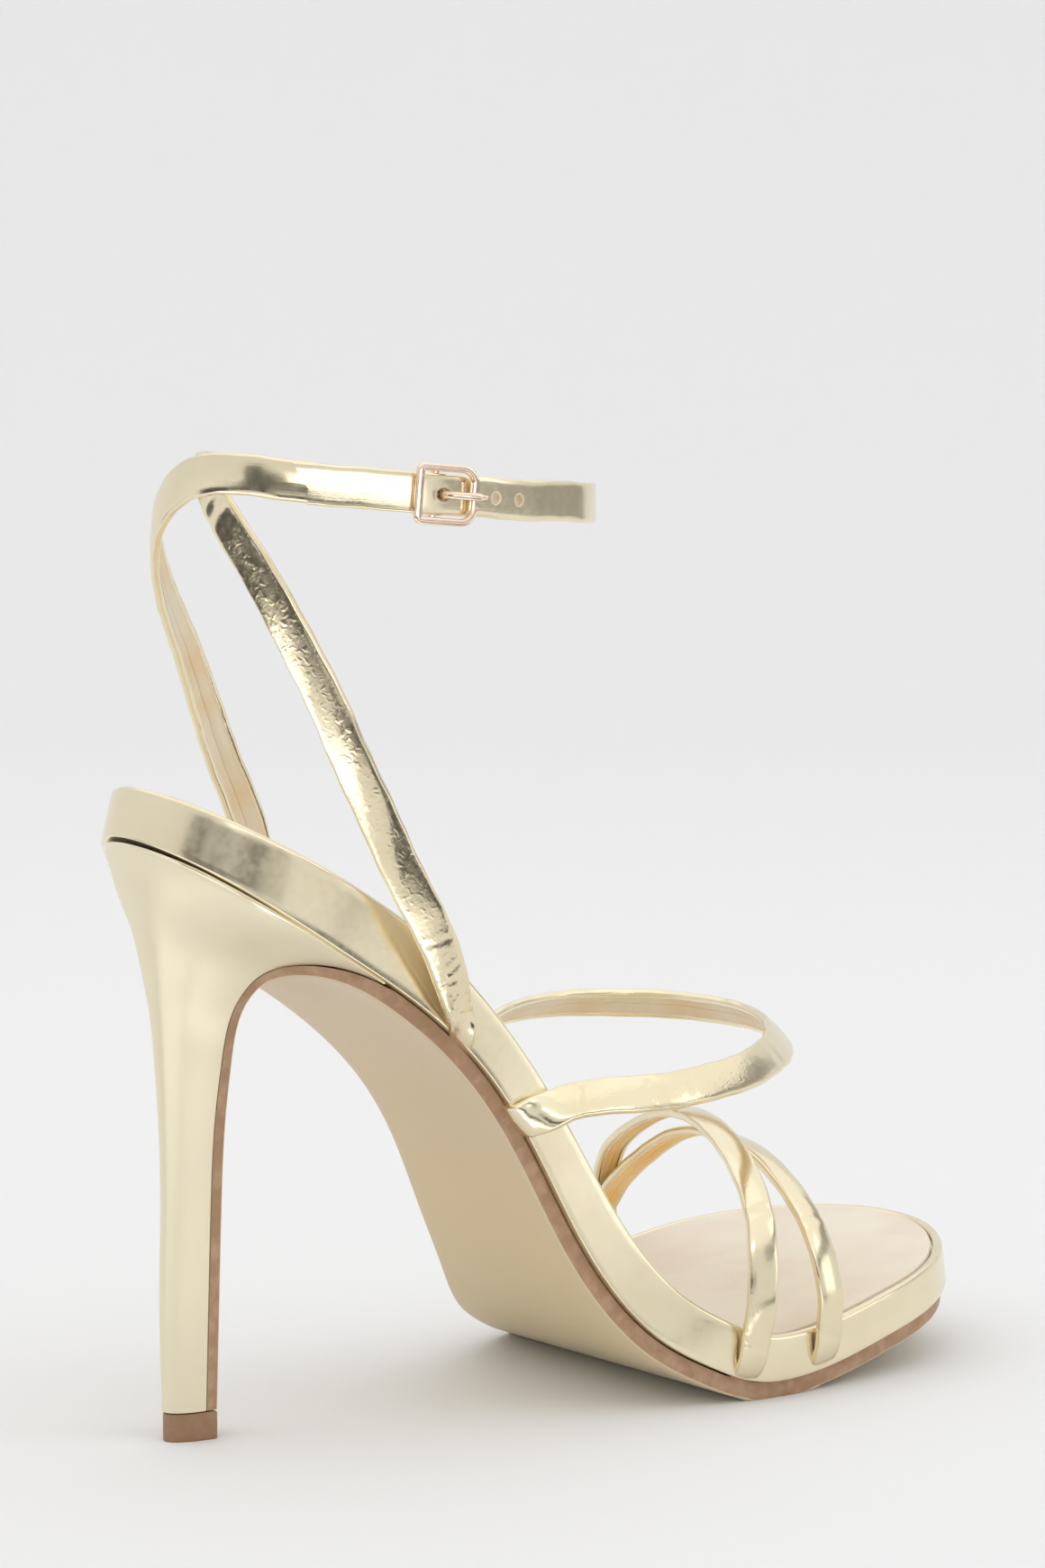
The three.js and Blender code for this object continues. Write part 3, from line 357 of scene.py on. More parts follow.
def blend(tree, share, first, second):
    """A colour between two, each a colour of its own or a socket."""
    ends = [(*value, 1) if isinstance(value, tuple) else value for value in (first, second)]
    values = {"Factor": share, "A": ends[0], "B": ends[1]}
    node = add_node(tree, "ShaderNodeMix", data_type="RGBA")
    for name, value in values.items():
        if isinstance(value, bpy.types.NodeSocket):
            tree.links.new(value, node.inputs[name])
        else:
            node.inputs[name].default_value = value
    return [o for o in node.outputs if o.type == "RGBA"][0]


def bump(tree, height, depth_mm, before=None):
    values = {"Height": height, "Distance": depth_mm * 0.001, "Strength": 1.0}
    if before is not None:
        values["Normal"] = before
    return add_node(tree, "ShaderNodeBump", values).outputs["Normal"]


def foil_leather(name, color, shade, roughness, metallic, layer=None, grain=0.002, crinkle=0.0):
    """Leather under a metal foil: pores, slow waves from the wrapping, and a net of small creases
    where the piece has a crumple layer, painted darker there as shade in the creases."""
    material, tree, shader = new_material(name, color, roughness, metallic)
    place = millimetres(tree, layer)
    slow = noise(tree, place, 0.09, 2)
    tinted = blend(tree, remap(tree, slow, 0.35, 0.75, 0, 0.35), color, shade)
    normal = bump(tree, noise(tree, place, 2.2, 1), grain)
    normal = bump(tree, noise(tree, place, 0.16, 1), 0.03, normal)
    if crinkle:
        amount = layer_of(tree, "crumple")
        brushed = noise(tree, place, 3.0, 2, 0.5, (0.03, 1, 1))
        normal = bump(tree, brushed, 0.006, normal)
        net = add_node(
            tree,
            "ShaderNodeTexNoise",
            {"Vector": place, "Scale": 0.85, "Detail": 3.5, "Roughness": 0.62, "Distortion": 0.6},
            noise_type="RIDGED_MULTIFRACTAL",
        ).outputs["Fac"]
        normal = bump(tree, multiply(tree, net, amount), crinkle, normal)
        # Painted shade: crumpled foil is tinted towards the darker gold, standing for the shade in its
        # creases.
        tinted = blend(tree, multiply(tree, amount, 0.4), tinted, shade)
    worn = noise(tree, place, 0.7, 3)
    rough = remap(tree, worn, 0.3, 0.7, roughness - 0.03, roughness + 0.04)
    wire(tree, shader, Base_Color=tinted, Normal=normal, Roughness=rough)
    return material


def thick_less(drop):
    return lambda s: footbed_thick(s) - drop


def wall_level(share):
    return lambda s: BAND_EDGE + (footbed_thick(s) - LIP_ROUND - BAND_EDGE) * share


footbed_rings = []
for inset, level in quarter_round(BAND_EDGE, 4):
    footbed_rings.append(footbed_ring(inset, lambda s, level=level: np.full_like(s, level)))
for share in np.linspace(0, 1, 9)[1:]:
    footbed_rings.append(footbed_ring(0, wall_level(share)))
for drop, inset in quarter_round(LIP_ROUND, 6)[1:]:
    footbed_rings.append(footbed_ring(inset, thick_less(drop)))
footbed_rings.append(footbed_ring(LIP_WIDTH - LIP_SLOPE, thick_less(0.05)))
footbed_rings.append(footbed_ring(LIP_WIDTH, thick_less(LIP_DROP)))
footbed_rings.append(footbed_ring(LIP_WIDTH + RECESS_DRAFT, thick_less(SOCK_RECESS)))
points, faces, kinds = stack(np.array(footbed_rings), 12, (None, dish))
band_foil = foil_leather("band_foil", GOLD, GOLD_SHADE, 0.2, 0.86)
band = make_piece("footbed_wrapped", points, faces, [band_foil])
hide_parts("footbed")

# Insole sock
# A thin pad of pale coated leather on a millimetre of foam, glued into the recess inside the lip.

SOCK_THICK = 1
SOCK_EDGE = (0.5, 0.35)
SOCK_COLOR = (0.85, 0.77, 0.63)
SOCK_SHADE = (0.82, 0.7, 0.56)

sock_floor = SOCK_RECESS - FIT_GAP
sock_inset = LIP_WIDTH + RECESS_DRAFT + FIT_GAP
sock_rings = [footbed_ring(sock_inset, thick_less(sock_floor))]
for down, inward in quarter_round(1, 5):
    drop = sock_floor - SOCK_THICK + SOCK_EDGE[1] * down
    sock_rings.append(footbed_ring(sock_inset + SOCK_EDGE[0] * inward, thick_less(drop)))
points, faces, kinds = stack(np.array(sock_rings), 16, (dish, dish))
sock_leather, tree, shader = new_material("sock_leather", SOCK_COLOR, 0.55)
place = millimetres(tree)
shader.inputs["Sheen Weight"].default_value = 0.15
slow = noise(tree, place, 0.05, 2)
color = blend(tree, remap(tree, slow, 0.35, 0.7), SOCK_COLOR, SOCK_SHADE)
cells = add_node(tree, "ShaderNodeTexVoronoi", {"Vector": place, "Scale": 1.9}).outputs["Distance"]
normal = bump(tree, cells, 0.03)
normal = bump(tree, noise(tree, place, 0.3, 3), 0.15, normal)
wire(tree, shader, Base_Color=color, Normal=normal)
sock = make_piece("insole_sock_pad", points, faces, [sock_leather])
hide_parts("insole_sock")

# Ankle straps
# Two narrow straps of foil leather, folded over at both edges and lined, that start under the footbed.
# They cross behind the ankle: one goes round the leg and through the buckle, the other holds the buckle.

STRAP_THICK = 1.6
STRAP_CORNER = 0.5
STRAP_CROWN = 0.32
STRAP_SHARP = 55
ANKLE_STRAP_WIDTH = 7
FOLD_OVER = 1.25
LINING_DROP = 0.16
SPLIT_DEPTH = 0.22
SPLIT_HALF = 0.13
PULLED_FLAT = 0.8
SLOW_SWAY = 0.07
QUICK_SWAY = 0.05
RING_STEP = 0.62
FINE_STEP = 0.2
COLLAR = (83, 58, 168)
ANKLE_CORE = (0.446, -0.172, None)
INNER_RISER_CORE = (0.27, -0.172, None)
TAIL_SLANT = -0.7
HOLE_RADIUS = 0.8
PRONG_HOLE_RADIUS = 1.3
HOLE_PITCH = 5.3
SPARE_HOLES = (2, 3)
HOLE_SIDES = 24
HOLE_MARGIN = 0.5
HOLE_RIMS = (0.4, 0.22, 0.0)
BUCKLE_ROW = 28
CENTRE_BAR_RADIUS = 0.75
FOLD_THICK = 1
UNDER_LAYER_STOPS = (27, 21.5, 16, 10.5, 5.5)
FOLD_BACK_STOPS = ((3, -4.4), (6.5, -3.7), (10, -3.4))
CREASE_REACH = 8
CRUMPLE_LEAST = 0.12
SIDE_LEVEL = 2
# Deep amber painted as shade: in the linings' folds where they go in under the footbed, and over the toe
# straps' undersides.
AMBER = (0.92, 0.6, 0.22)
LINING = (0.8, 0.7, 0.53)
LINING_SHADE = (0.78, 0.61, 0.39)

# along, out, up, turn, wide
OUTER_ANKLE_ROWS = [
    (0.543, -0.345, 0.392, 1, 0.6),
    (0.522, -0.386, 0.403, 1, 0.6),
    (0.5, -0.431, 0.416, 0.7, 0.62),
    (0.481, -0.462, 0.436, 0.2, 0.75),
    (0.453, -0.488, 0.464, 0, 0.9),
    (0.417, -0.514, 0.501, 0, 1),
    (0.354, -0.54, 0.549, 0, 1),
    (0.255, -0.533, 0.639, 0, 1),
    (0.172, -0.509, 0.727, 0, 1),
    (0.107, -0.457, 0.808, 0, 1),
    (0.051, -0.388, 0.876, 0, 1),
    (0.011, -0.321, 0.927, 0, 1),
    (-0.017, -0.264, 0.963, 0, 1),
    (-0.023, -0.21, 0.989, 0, 1),
    (0, -0.109, 1.001, 0, 1),
    (0.078, 0.026, 1.001, 0, 1),
    (0.193, 0.172, 0.998, 0, 1),
    (0.337, 0.284, 0.992, 0, 1),
    (0.494, 0.321, 0.985, 0, 1),
    (0.663, 0.269, 0.977, 0, 1),
    (0.795, 0.141, 0.971, 0, 1),
    (0.873, -0.031, 0.968, 0, 1),
    (0.899, -0.207, 0.966, 0, 1),
    (0.863, -0.376, 0.966, 0, 1),
    (0.778, -0.517, 0.968, 0, 1),
    (0.67, -0.61, 0.971, 0, 1),
    (0.552, -0.666, 0.973, 0, 1),
    (0.436, -0.69, 0.977, 0, 1),
    (0.323, -0.688, 0.981, 0, 1),
    (0.229, -0.653, 0.985, 0, 1),
    (0.142, -0.591, 0.989, 0, 1),
    (0.072, -0.516, 0.993, 0, 1),
]
INNER_ANKLE_ROWS = [
    (0.545, 0.21, 0.392, 1, 0.7),
    (0.529, 0.255, 0.401, 1, 0.7),
    (0.511, 0.3, 0.414, 0.7, 0.75),
    (0.496, 0.345, 0.442, 0.2, 0.9),
    (0.472, 0.383, 0.475, 0, 1),
    (0.434, 0.426, 0.518, 0, 1),
    (0.396, 0.443, 0.565, 0, 1),
    (0.346, 0.429, 0.628, 0, 1),
    (0.259, 0.395, 0.713, 0, 1),
    (0.164, 0.326, 0.802, 0, 1),
    (0.095, 0.266, 0.852, 0, 1),
    (0.039, 0.203, 0.894, 0, 1),
    (-0.007, 0.122, 0.93, 0, 1),
    (-0.03, 0.045, 0.958, 0, 1),
    (-0.04, -0.055, 0.982, 0, 1),
    (-0.043, -0.148, 0.994, 0, 1),
    (-0.039, -0.25, 1.001, 0, 1),
    (-0.012, -0.348, 1.002, 0, 1),
]

# Creases across a strap: row of its path, lean, depth, half width, and where it starts and ends across
OUTER_CREASES = [
    (3.3, 0.5, 0.2, 0.4, -1, 1),
    (3.8, -0.3, 0.14, 0.3, -1, 0.4),
    (4.15, 0.5, 0.13, 0.25, -0.2, 1),
    (4.5, 0.3, 0.16, 0.3, -0.6, 1),
    (4.8, -0.2, 0.12, 0.3, -1, 0.5),
    (5.1, 0.2, 0.1, 0.25, 0, 1),
    (5.5, 0.3, 0.09, 0.5, -0.6, 1),
    (12.2, -0.4, 0.15, 1.0, -1, 1),
]
INNER_CREASES = [
    (3.2, 0.3, 0.25, 0.5, -1, 1),
    (4.0, -0.3, 0.18, 0.5, -1, 1),
    (6.1, 0.3, 0.1, 0.8, -1, 1),
    (8.2, -0.2, 0.1, 0.9, -1, 1),
    (10.3, 0.3, 0.12, 1.0, -1, 1),
    (12.4, 0.2, 0.14, 1.1, -1, 1),
]


class StrapPath:
    """The middle line of a strap with its direction, face and size, read by length."""

    def __init__(self, places, faces_out, wide=1.0, thick=1.0):
        steps = np.linalg.norm(np.diff(places, axis=0), axis=1)
        self.knots = np.concatenate([[0], np.cumsum(steps)])
        self.length = self.knots[-1]
        sizes = np.stack([np.broadcast_to(size, len(places)) for size in (wide, thick)], 1)
        self.read = spline(self.knots, np.concatenate([places, faces_out, sizes], 1))

    def at(self, s):
        here = self.read(s)
        along = unit(self.read(np.asarray(s) + 0.05)[..., :3] - here[..., :3])
        face = here[..., 3:6]
        face = unit(face - along * np.sum(face * along, -1, keepdims=True))
        return here[..., :3], along, face, np.cross(face, along), here[..., 6], here[..., 7]


def strap_points(table, size, core):
    """Places and face directions of a strap: away from its core, then turned under the footbed."""
    table = np.array(table)
    places = table[:, :3] * size
    axis = places.copy()
    for i, share in enumerate(core):
        if share is not None:
            axis[:, i] = share * size[i]
    away = unit(places - axis)
    reach = np.arange(0, foot_rail.length + 0.5, 0.5)
    level = foot_rail.point(reach)[:, 0]
    n = foot_rail.normal(reach[np.minimum(np.searchsorted(level, places[:, 0]), len(reach) - 1)])
    under = np.stack([-n[:, 0], np.zeros(len(n)), -n[:, 1]], 1)
    side = np.stack([np.zeros(len(n)), np.sign(places[:, 1]), np.zeros(len(n))], 1)
    turn = table[:, 3]
    wall = away + (side - away) * smooth(turn, 0, 0.2)[:, None]
    return places, unit(wall + (under - wall) * smooth(turn, 0.2, 1)[:, None])


def strap_section(half, thick, seam, crowned=1.0):
    """Half of a strap's section, from one edge over the face to the other: across, height over it
    and height under it. The underside is the lining, let in between the folded edges."""
    corner = min(STRAP_CORNER, thick * 0.7)
    turns = np.array([0.1, 0.45, 0.8, 1.15, 1.5])
    out = half - corner * (1 - np.cos(turns))
    edge = thick - corner * (1 - np.sin(turns))
    fold = half - FOLD_OVER
    inner = [fold + 0.12, fold, fold - 0.12, fold * 0.72, fold * 0.48]
    inner += [seam + off for off in (0.32, 0.14, 0, -0.14, -0.32)]
    inner += [-fold * 0.4, -fold * 0.72, -fold + 0.12, -fold, -fold - 0.12]
    w = np.concatenate([out, inner, -out[::-1]])
    level = np.concatenate([edge, np.full(len(inner), thick), edge[::-1]])
    over = level + STRAP_CROWN * crowned * (0.5 - (w / half) ** 2)
    under = level - LINING_DROP * (1 - smooth(np.abs(w), fold - 0.1, fold + 0.15))
    under -= SPLIT_DEPTH * np.exp(-(((w - seam) / SPLIT_HALF) ** 2))
    return w, over, -under


def ring_stations(path, fine, holes):
    """Lengths of a strap's rings: closer in the fine stretch, and clear of the holes."""
    steps = np.linspace(0, path.length, int(path.length / RING_STEP))
    coarse = steps[(steps < fine[0]) | (steps > fine[1])]
    close = np.arange(fine[0], fine[1], FINE_STEP)
    stations = np.unique(np.concatenate([coarse, close, [path.length]]))
    for at, _, reach, _ in holes:
        clear = reach + HOLE_MARGIN
        stations = stations[np.abs(stations - at) > clear]
        stations = np.sort(np.append(stations, [at - clear, at, at + clear]))
    return stations


def length_at(path, row):
    """The length at a row of the strap's path, which may lie between two rows."""
    return np.interp(row, np.arange(len(path.knots)), path.knots)


def crease_dent(s, w, half, creases):
    """How far the creases press the strap in at a length, for each place across."""
    dent = np.zeros_like(w)
    for at, lean, depth, reach, start, end in creases:
        if abs(s - at) > CREASE_REACH:
            continue
        off = (s - at - lean * w) / reach
        begun = smooth(w / half, start - 0.3, start + 0.1)
        inside = begun * (1 - smooth(w / half, end - 0.1, end + 0.3))
        dent += inside * depth * (0.45 * np.exp(-((off - 1.9) ** 2)) - np.exp(-(off**2)))
        dent += inside * depth * 0.35 * np.exp(-((off + 2.1) ** 2))
    return dent


def crumple_at(s, path, stretches):
    """How crumpled the foil is at a length, which also sets how much painted crease shade it gets: a
    little everywhere, more along the stretches.
    """
    worn = CRUMPLE_LEAST
    for first, last, amount in stretches:
        low, high = length_at(path, first), length_at(path, last)
        inside = smooth(s, low - 3, low + 3) * (1 - smooth(s, high - 3, high + 3))
        worn = max(worn, amount * float(inside))
    return worn


def ribbon(path, width, creases, seam, slant=0.0, fine=(0, 0), crumple=(), flat_from=1e6, holes=()):
    """Rings of a strap, and for each point its length, place across, side and crumple."""
    stations = ring_stations(path, fine, holes)
    p, along, face, across, wide, thick = path.at(stations)
    creases = [(length_at(path, c[0]), *c[1:]) for c in creases]
    rings = []
    for i, s in enumerate(stations):
        half = width * wide[i] / 2
        crowned = 1 - PULLED_FLAT * smooth(s, flat_from - 4, flat_from + 4)
        w, over, under = strap_section(half, STRAP_THICK * thick[i] / 2, seam * wide[i], crowned)
        sway = SLOW_SWAY * math.sin(s * 0.31 + seam) + QUICK_SWAY * math.sin(s * 0.83 + 1.3)
        dent = crease_dent(s, w, half, creases)
        spots = np.concatenate([w, w[::-1]])
        heights = np.concatenate([over + dent, (under + dent * 0.6)[::-1]])
        ring = p[i] + across[i] * (spots + sway)[:, None] + face[i] * heights[:, None]
        if i == len(stations) - 1:
            ring = ring + along[i] * (slant * spots)[:, None]
        side = np.repeat([SIDE_LEVEL, -SIDE_LEVEL], len(w))
        worn = crumple_at(s, path, crumple)
        layers = [np.full_like(spots, s), spots, side, np.full_like(spots, worn)]
        rings.append(np.concatenate([ring, np.stack(layers, 1)], 1))
    return np.array(rings)


def zipper(outer, outer_turns, inner, inner_turns):
    """Triangles between two loops of different counts, both read by their turn round the hole."""
    faces = []
    i = j = 0
    n, m = len(outer), len(inner)
    while i < n or j < m:
        next_outer = outer_turns[i + 1] if i + 1 < n else outer_turns[0] + 2 * math.pi
        next_inner = inner_turns[j + 1] if j + 1 < m else inner_turns[0] + 2 * math.pi
        if j >= m or (i < n and next_outer <= next_inner):
            faces.append((outer[i % n], outer[(i + 1) % n], inner[j % m]))
            i += 1
        else:
            faces.append((outer[i % n], inner[(j + 1) % m], inner[j % m]))
            j += 1
    return faces


def pierce(points, faces, kinds, rings, holes, path):
    """Cuts round holes through a strap: each has a small bevelled rim on both sides and a wall."""
    section = rings.shape[1] // 2
    count = 2 * section
    margin = HOLE_MARGIN * 0.9
    rims = [(1, rim) for rim in HOLE_RIMS] + [(-1, rim) for rim in reversed(HOLE_RIMS)]
    for at, across_at, reach, half in holes:
        lengths = rings[:, 0, 3]
        k0 = int(np.nonzero(lengths < at - reach - margin)[0][-1])
        k1 = int(np.nonzero(lengths > at + reach + margin)[0][0])
        places = rings[k0, :section, 4]
        j0 = int(np.nonzero(places > across_at + half + margin)[0][-1])
        j1 = int(np.nonzero(places < across_at - half - margin)[0][0])
        loop = [(k, j0) for k in range(k0, k1)] + [(k1, j) for j in range(j0, j1)]
        loop += [(k, j1) for k in range(k1, k0, -1)] + [(k0, j) for j in range(j1, j0, -1)]
        dropped = {(k, j) for k in range(k0, k1) for j in range(j0, j1)}
        dropped |= {(k, count - 2 - j) for k, j in dropped}
        kept = [i for i, kind in enumerate(kinds) if kind not in dropped]
        faces = [faces[i] for i in kept]
        kinds = [kinds[i] for i in kept]
        corners = np.array([rings[k, j, 3:5] for k, j in loop]) - (at, across_at)
        corner_turns = np.unwrap(np.arctan2(corners[:, 1] / half, corners[:, 0] / reach))
        if corner_turns[-1] < corner_turns[0]:
            loop = loop[::-1]
            corner_turns = corner_turns[::-1]
        turns = corner_turns[0] + np.arange(HOLE_SIDES) * 2 * math.pi / HOLE_SIDES
        circles = []
        for side, rim in rims:
            first = len(points)
            ring = []
            for turn in turns:
                s = at + (reach + rim) * math.cos(turn)
                w = across_at + (half + rim) * math.sin(turn)
                p, _, face, across, _, thick = path.at(s)
                bevel = 0.0 if rim else HOLE_RIMS[1]
                height = side * (STRAP_THICK * float(thick) / 2 - bevel)
                spot = p + across * w + face * height
                level = SIDE_LEVEL * side if rim else 2 * SIDE_LEVEL
                ring.append([*spot, s, w, level, 0.1])
            points = np.concatenate([points, ring])
            circles.append(list(range(first, first + HOLE_SIDES)))
        top = [k * count + j for k, j in loop]
        bottom = [k * count + count - 1 - j for k, j in loop]
        new_faces = zipper(top, corner_turns, circles[0], turns)
        new_faces += [f[::-1] for f in zipper(bottom, corner_turns, circles[-1], turns)]
        plain = len(new_faces)
        for outer, inner in zip(circles, circles[1:]):
            for i in range(HOLE_SIDES):
                n = (i + 1) % HOLE_SIDES
                new_faces.append((outer[i], outer[n], inner[n], inner[i]))
        _, _, face, _, _, _ = path.at(at)
        a, b, c = (points[i][:3] for i in new_faces[0][:3])
        if float(np.dot(np.cross(b - a, c - a), face)) < 0:
            new_faces = [f[::-1] for f in new_faces]
        faces += new_faces
        kinds += [(-3, 0)] * plain + [(-3, 1)] * (len(new_faces) - plain)
    return points, faces, kinds


def strap_slots(kinds, section):
    """Foil on the face, the edges and the folded strips, lining between those and in the holes."""
    first = section + 6
    last = 2 * section - 7
    return [int((k >= 0 and first <= j < last) or (k == -3 and j > 0)) for k, j in kinds]


def strap_lining(name, color, shade):
    """Pale lining leather with fine pores, cross puckers, amber patches, painted amber shade near the
    strap's start where it folds in under the footbed, and a shine left by the press.
    """
    material, tree, shader = new_material(name, color, 0.42, 0.35)
    place = millimetres(tree, "place")
    patches = noise(tree, place, 0.07, 2, 0.5, (1, 0.4, 1))
    tint = blend(tree, remap(tree, patches, 0.42, 0.7), color, shade)
    # Painted shade: the lining is deep amber over the first 6 mm of the strap and fades out by 15 mm,
    # standing for the warm shade in the fold.
    painted_fold_shade = remap(tree, axis_of(tree, place, "X"), 6, 15, 1, 0)
    tint = blend(tree, painted_fold_shade, tint, AMBER)
    normal = bump(tree, noise(tree, place, 3.0, 4, 0.6), 0.02)
    normal = bump(tree, noise(tree, place, 0.55, 3, 0.5, (1, 0.25, 1)), 0.22, normal)
    wire(tree, shader, Base_Color=tint, Normal=normal)
    return material


def strap_piece(name, rings, materials, node, holes=(), path=None):
    """A strap's mesh object with its holes. Its layers hold the place along and across it."""
    points, faces, kinds = stack(rings)
    points, faces, kinds = pierce(points, faces, kinds, rings, holes, path)
    slots = strap_slots(kinds, rings.shape[1] // 2)
    layers = {"place": points[:, 3:6], "crumple": points[:, 6]}
    piece = make_piece(name, points, faces, materials, slots, STRAP_SHARP, **layers)
    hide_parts(node)


outer_places, outer_faces = strap_points(OUTER_ANKLE_ROWS, COLLAR, ANKLE_CORE)
outer_path = StrapPath(outer_places, outer_faces, [row[4] for row in OUTER_ANKLE_ROWS])
buckle_at = outer_path.knots[BUCKLE_ROW]
buckle_p, buckle_along, buckle_face, _, _, _ = outer_path.at(buckle_at)
forward = -buckle_along
upward = np.cross(buckle_face, forward)
layer_step = STRAP_THICK + FIT_GAP
fold_radius = CENTRE_BAR_RADIUS + FIT_GAP + FOLD_THICK / 2
bar_depth = -layer_step + STRAP_THICK / 2 - FOLD_THICK / 2 - fold_radius


def buckle_spot(ahead, out, up=0.0):
    return buckle_p + forward * ahead + buckle_face * out + upward * up


places, face_dirs = map(list, strap_points(INNER_ANKLE_ROWS, COLLAR, INNER_RISER_CORE))
thicks = [1.0] * len(places)
fold_share = FOLD_THICK / STRAP_THICK
for behind in UNDER_LAYER_STOPS:
    p, _, face, _, _, _ = outer_path.at(buckle_at + behind)
    places.append(p - face * layer_step)
    face_dirs.append(face)
    thicks.append(1 + (fold_share - 1) * float(smooth(-behind, -11, -4)))
bar = buckle_spot(0, bar_depth)
for angle in np.linspace(math.pi / 2, -math.pi / 2, 7):
    out = buckle_face * math.sin(angle) + forward * math.cos(angle)
    places.append(bar + out * fold_radius)
    face_dirs.append(out)
    thicks.append(fold_share)
for behind, out in FOLD_BACK_STOPS:
    p, _, face, _, _, _ = outer_path.at(buckle_at + behind)
    places.append(p + face * out)
    face_dirs.append(-face)
    thicks.append(fold_share)
wides = [row[4] for row in INNER_ANKLE_ROWS]
wides += [1.0] * (len(places) - len(wides))
inner_path = StrapPath(np.array(places), np.array(face_dirs), wides, thicks)
fold_first = inner_path.knots[len(INNER_ANKLE_ROWS) + len(UNDER_LAYER_STOPS)]

strap_foil = foil_leather("strap_foil", GOLD, GOLD_SHADE, 0.17, 0.95, "place", 0.003, 0.045)
lining = strap_lining("strap_lining", LINING, LINING_SHADE)
spare_holes = [(buckle_at - HOLE_PITCH * n, 0, HOLE_RADIUS, HOLE_RADIUS) for n in SPARE_HOLES]
outer_holes = [(buckle_at, 0, PRONG_HOLE_RADIUS, PRONG_HOLE_RADIUS * 0.8), *spare_holes]
outer_rings = ribbon(
    outer_path,
    ANKLE_STRAP_WIDTH,
    OUTER_CREASES,
    seam=0.3,
    slant=TAIL_SLANT,
    crumple=[(3, 12, 0.85), (19, 27, 0.2)],
    flat_from=outer_path.knots[20],
    holes=outer_holes,
)
inner_rings = ribbon(
    inner_path,
    ANKLE_STRAP_WIDTH,
    INNER_CREASES,
    seam=-0.5,
    fine=(fold_first - 3, fold_first + 8),
    crumple=[(3, 10, 0.4)],
)
ankle_leathers = [strap_foil, lining]
strap_piece("ankle_strap_outer", outer_rings, ankle_leathers, "ankle_straps", outer_holes, outer_path)
strap_piece("ankle_strap_inner", inner_rings, ankle_leathers, "ankle_straps")

# Instep strap
# One folded and lined strap from the outer side of the arch, round the instep and back to the inner
# side. Its ends lie flat against the footbed's wall and go in under the board.

INSTEP_STRAP_WIDTH = 7
INSTEP = (76, 74, 60)
INSTEP_CORE = (1.18, 0, 0.5)

# along, out, up, turn
INSTEP_ROWS = [
    (0.742, -0.384, 0.927, 0.15),
    (0.8, -0.405, 0.955, 0),
    (0.9, -0.46, 0.972, 0),
    (1.034, -0.503, 0.98, 0),
    (1.184, -0.486, 0.99, 0),
    (1.355, -0.419, 1.007, 0),
    (1.513, -0.297, 1.027, 0),
    (1.632, -0.135, 1.043, 0),
    (1.691, 0.054, 1.053, 0),
    (1.684, 0.23, 1.057, 0),
    (1.605, 0.372, 1.06, 0),
    (1.461, 0.454, 1.065, 0),
    (1.289, 0.453, 1.065, 0),
    (1.125, 0.386, 1.047, 0),
    (0.98, 0.309, 1.003, 0),
    (0.882, 0.27, 0.94, 0),
    (0.813, 0.242, 0.865, 0.15),
]
INSTEP_CREASES = [
    (5.2, 0.2, 0.12, 0.9, -1, 1),
    (6.6, -0.3, 0.14, 0.8, -1, 0.6),
    (7.3, 0.4, 0.12, 0.6, -0.4, 1),
    (9.5, 0.2, 0.1, 1.2, -1, 1),
    (14.4, -0.2, 0.1, 1.2, -1, 1),
    (19.2, 0.3, 0.2, 0.6, -1, 1),
]
WALL_OFFSET = 0.95
TUCK_HEIGHT = 0.8
WALL_STOPS = (2.5, 5.0, 7.5, 10.0)


def over_board(points, reach):
    """Length along the footbed and height over its underside, from the nearest of the lengths."""
    line = foot_rail.point(reach)
    flat = points[..., [0, 2]].reshape(-1, 2)
    nearest = np.argmin(((flat[:, None] - line[None]) ** 2).sum(2), 1)
    height = ((flat - line[nearest]) * foot_rail.normal(reach)[nearest]).sum(1)
    return reach[nearest].reshape(points.shape[:-1]), height.reshape(points.shape[:-1])


def board_place(points):
    """Points as length along the footbed, distance out from its side and height over it."""
    length, height = over_board(points, np.arange(0, foot_rail.length, 0.1))
    lateral, medial = outline_sides(length)
    out = np.where(points[..., 1] < 0, -points[..., 1] + lateral, points[..., 1] - medial)
    return length, out, height


def from_board(length, out, height, side):
    lateral, medial = outline_sides(length)
    y = lateral - out if side < 0 else medial + out
    return foot_rail.at(length, y, height)


def tucked(points, side):
    """Bends what hangs past the footbed's lower edge round that edge and in under the board."""
    length, out, height = board_place(points)
    past = np.maximum(TUCK_HEIGHT - height, 0)
    turn = np.minimum(past / WALL_OFFSET, math.pi / 2)
    further = np.maximum(past - WALL_OFFSET * math.pi / 2, 0)
    inward = out * np.cos(turn) - further
    bent = from_board(length, inward, TUCK_HEIGHT - out * np.sin(turn), side)
    return np.where((past > 0)[..., None], bent, points)


def wall_end(places, side):
    """Places that carry a strap on, from the first of two, straight down the footbed's wall."""
    length, out, height = board_place(places)
    step = unit(np.array([length[0] - length[1], height[0] - height[1]]))
    run = np.array(WALL_STOPS)
    outs = WALL_OFFSET + (out[0] - WALL_OFFSET) * np.where(run > run[0], 0.0, 0.15)
    return from_board(length[0] + step[0] * run, outs, height[0] + step[1] * run, side)


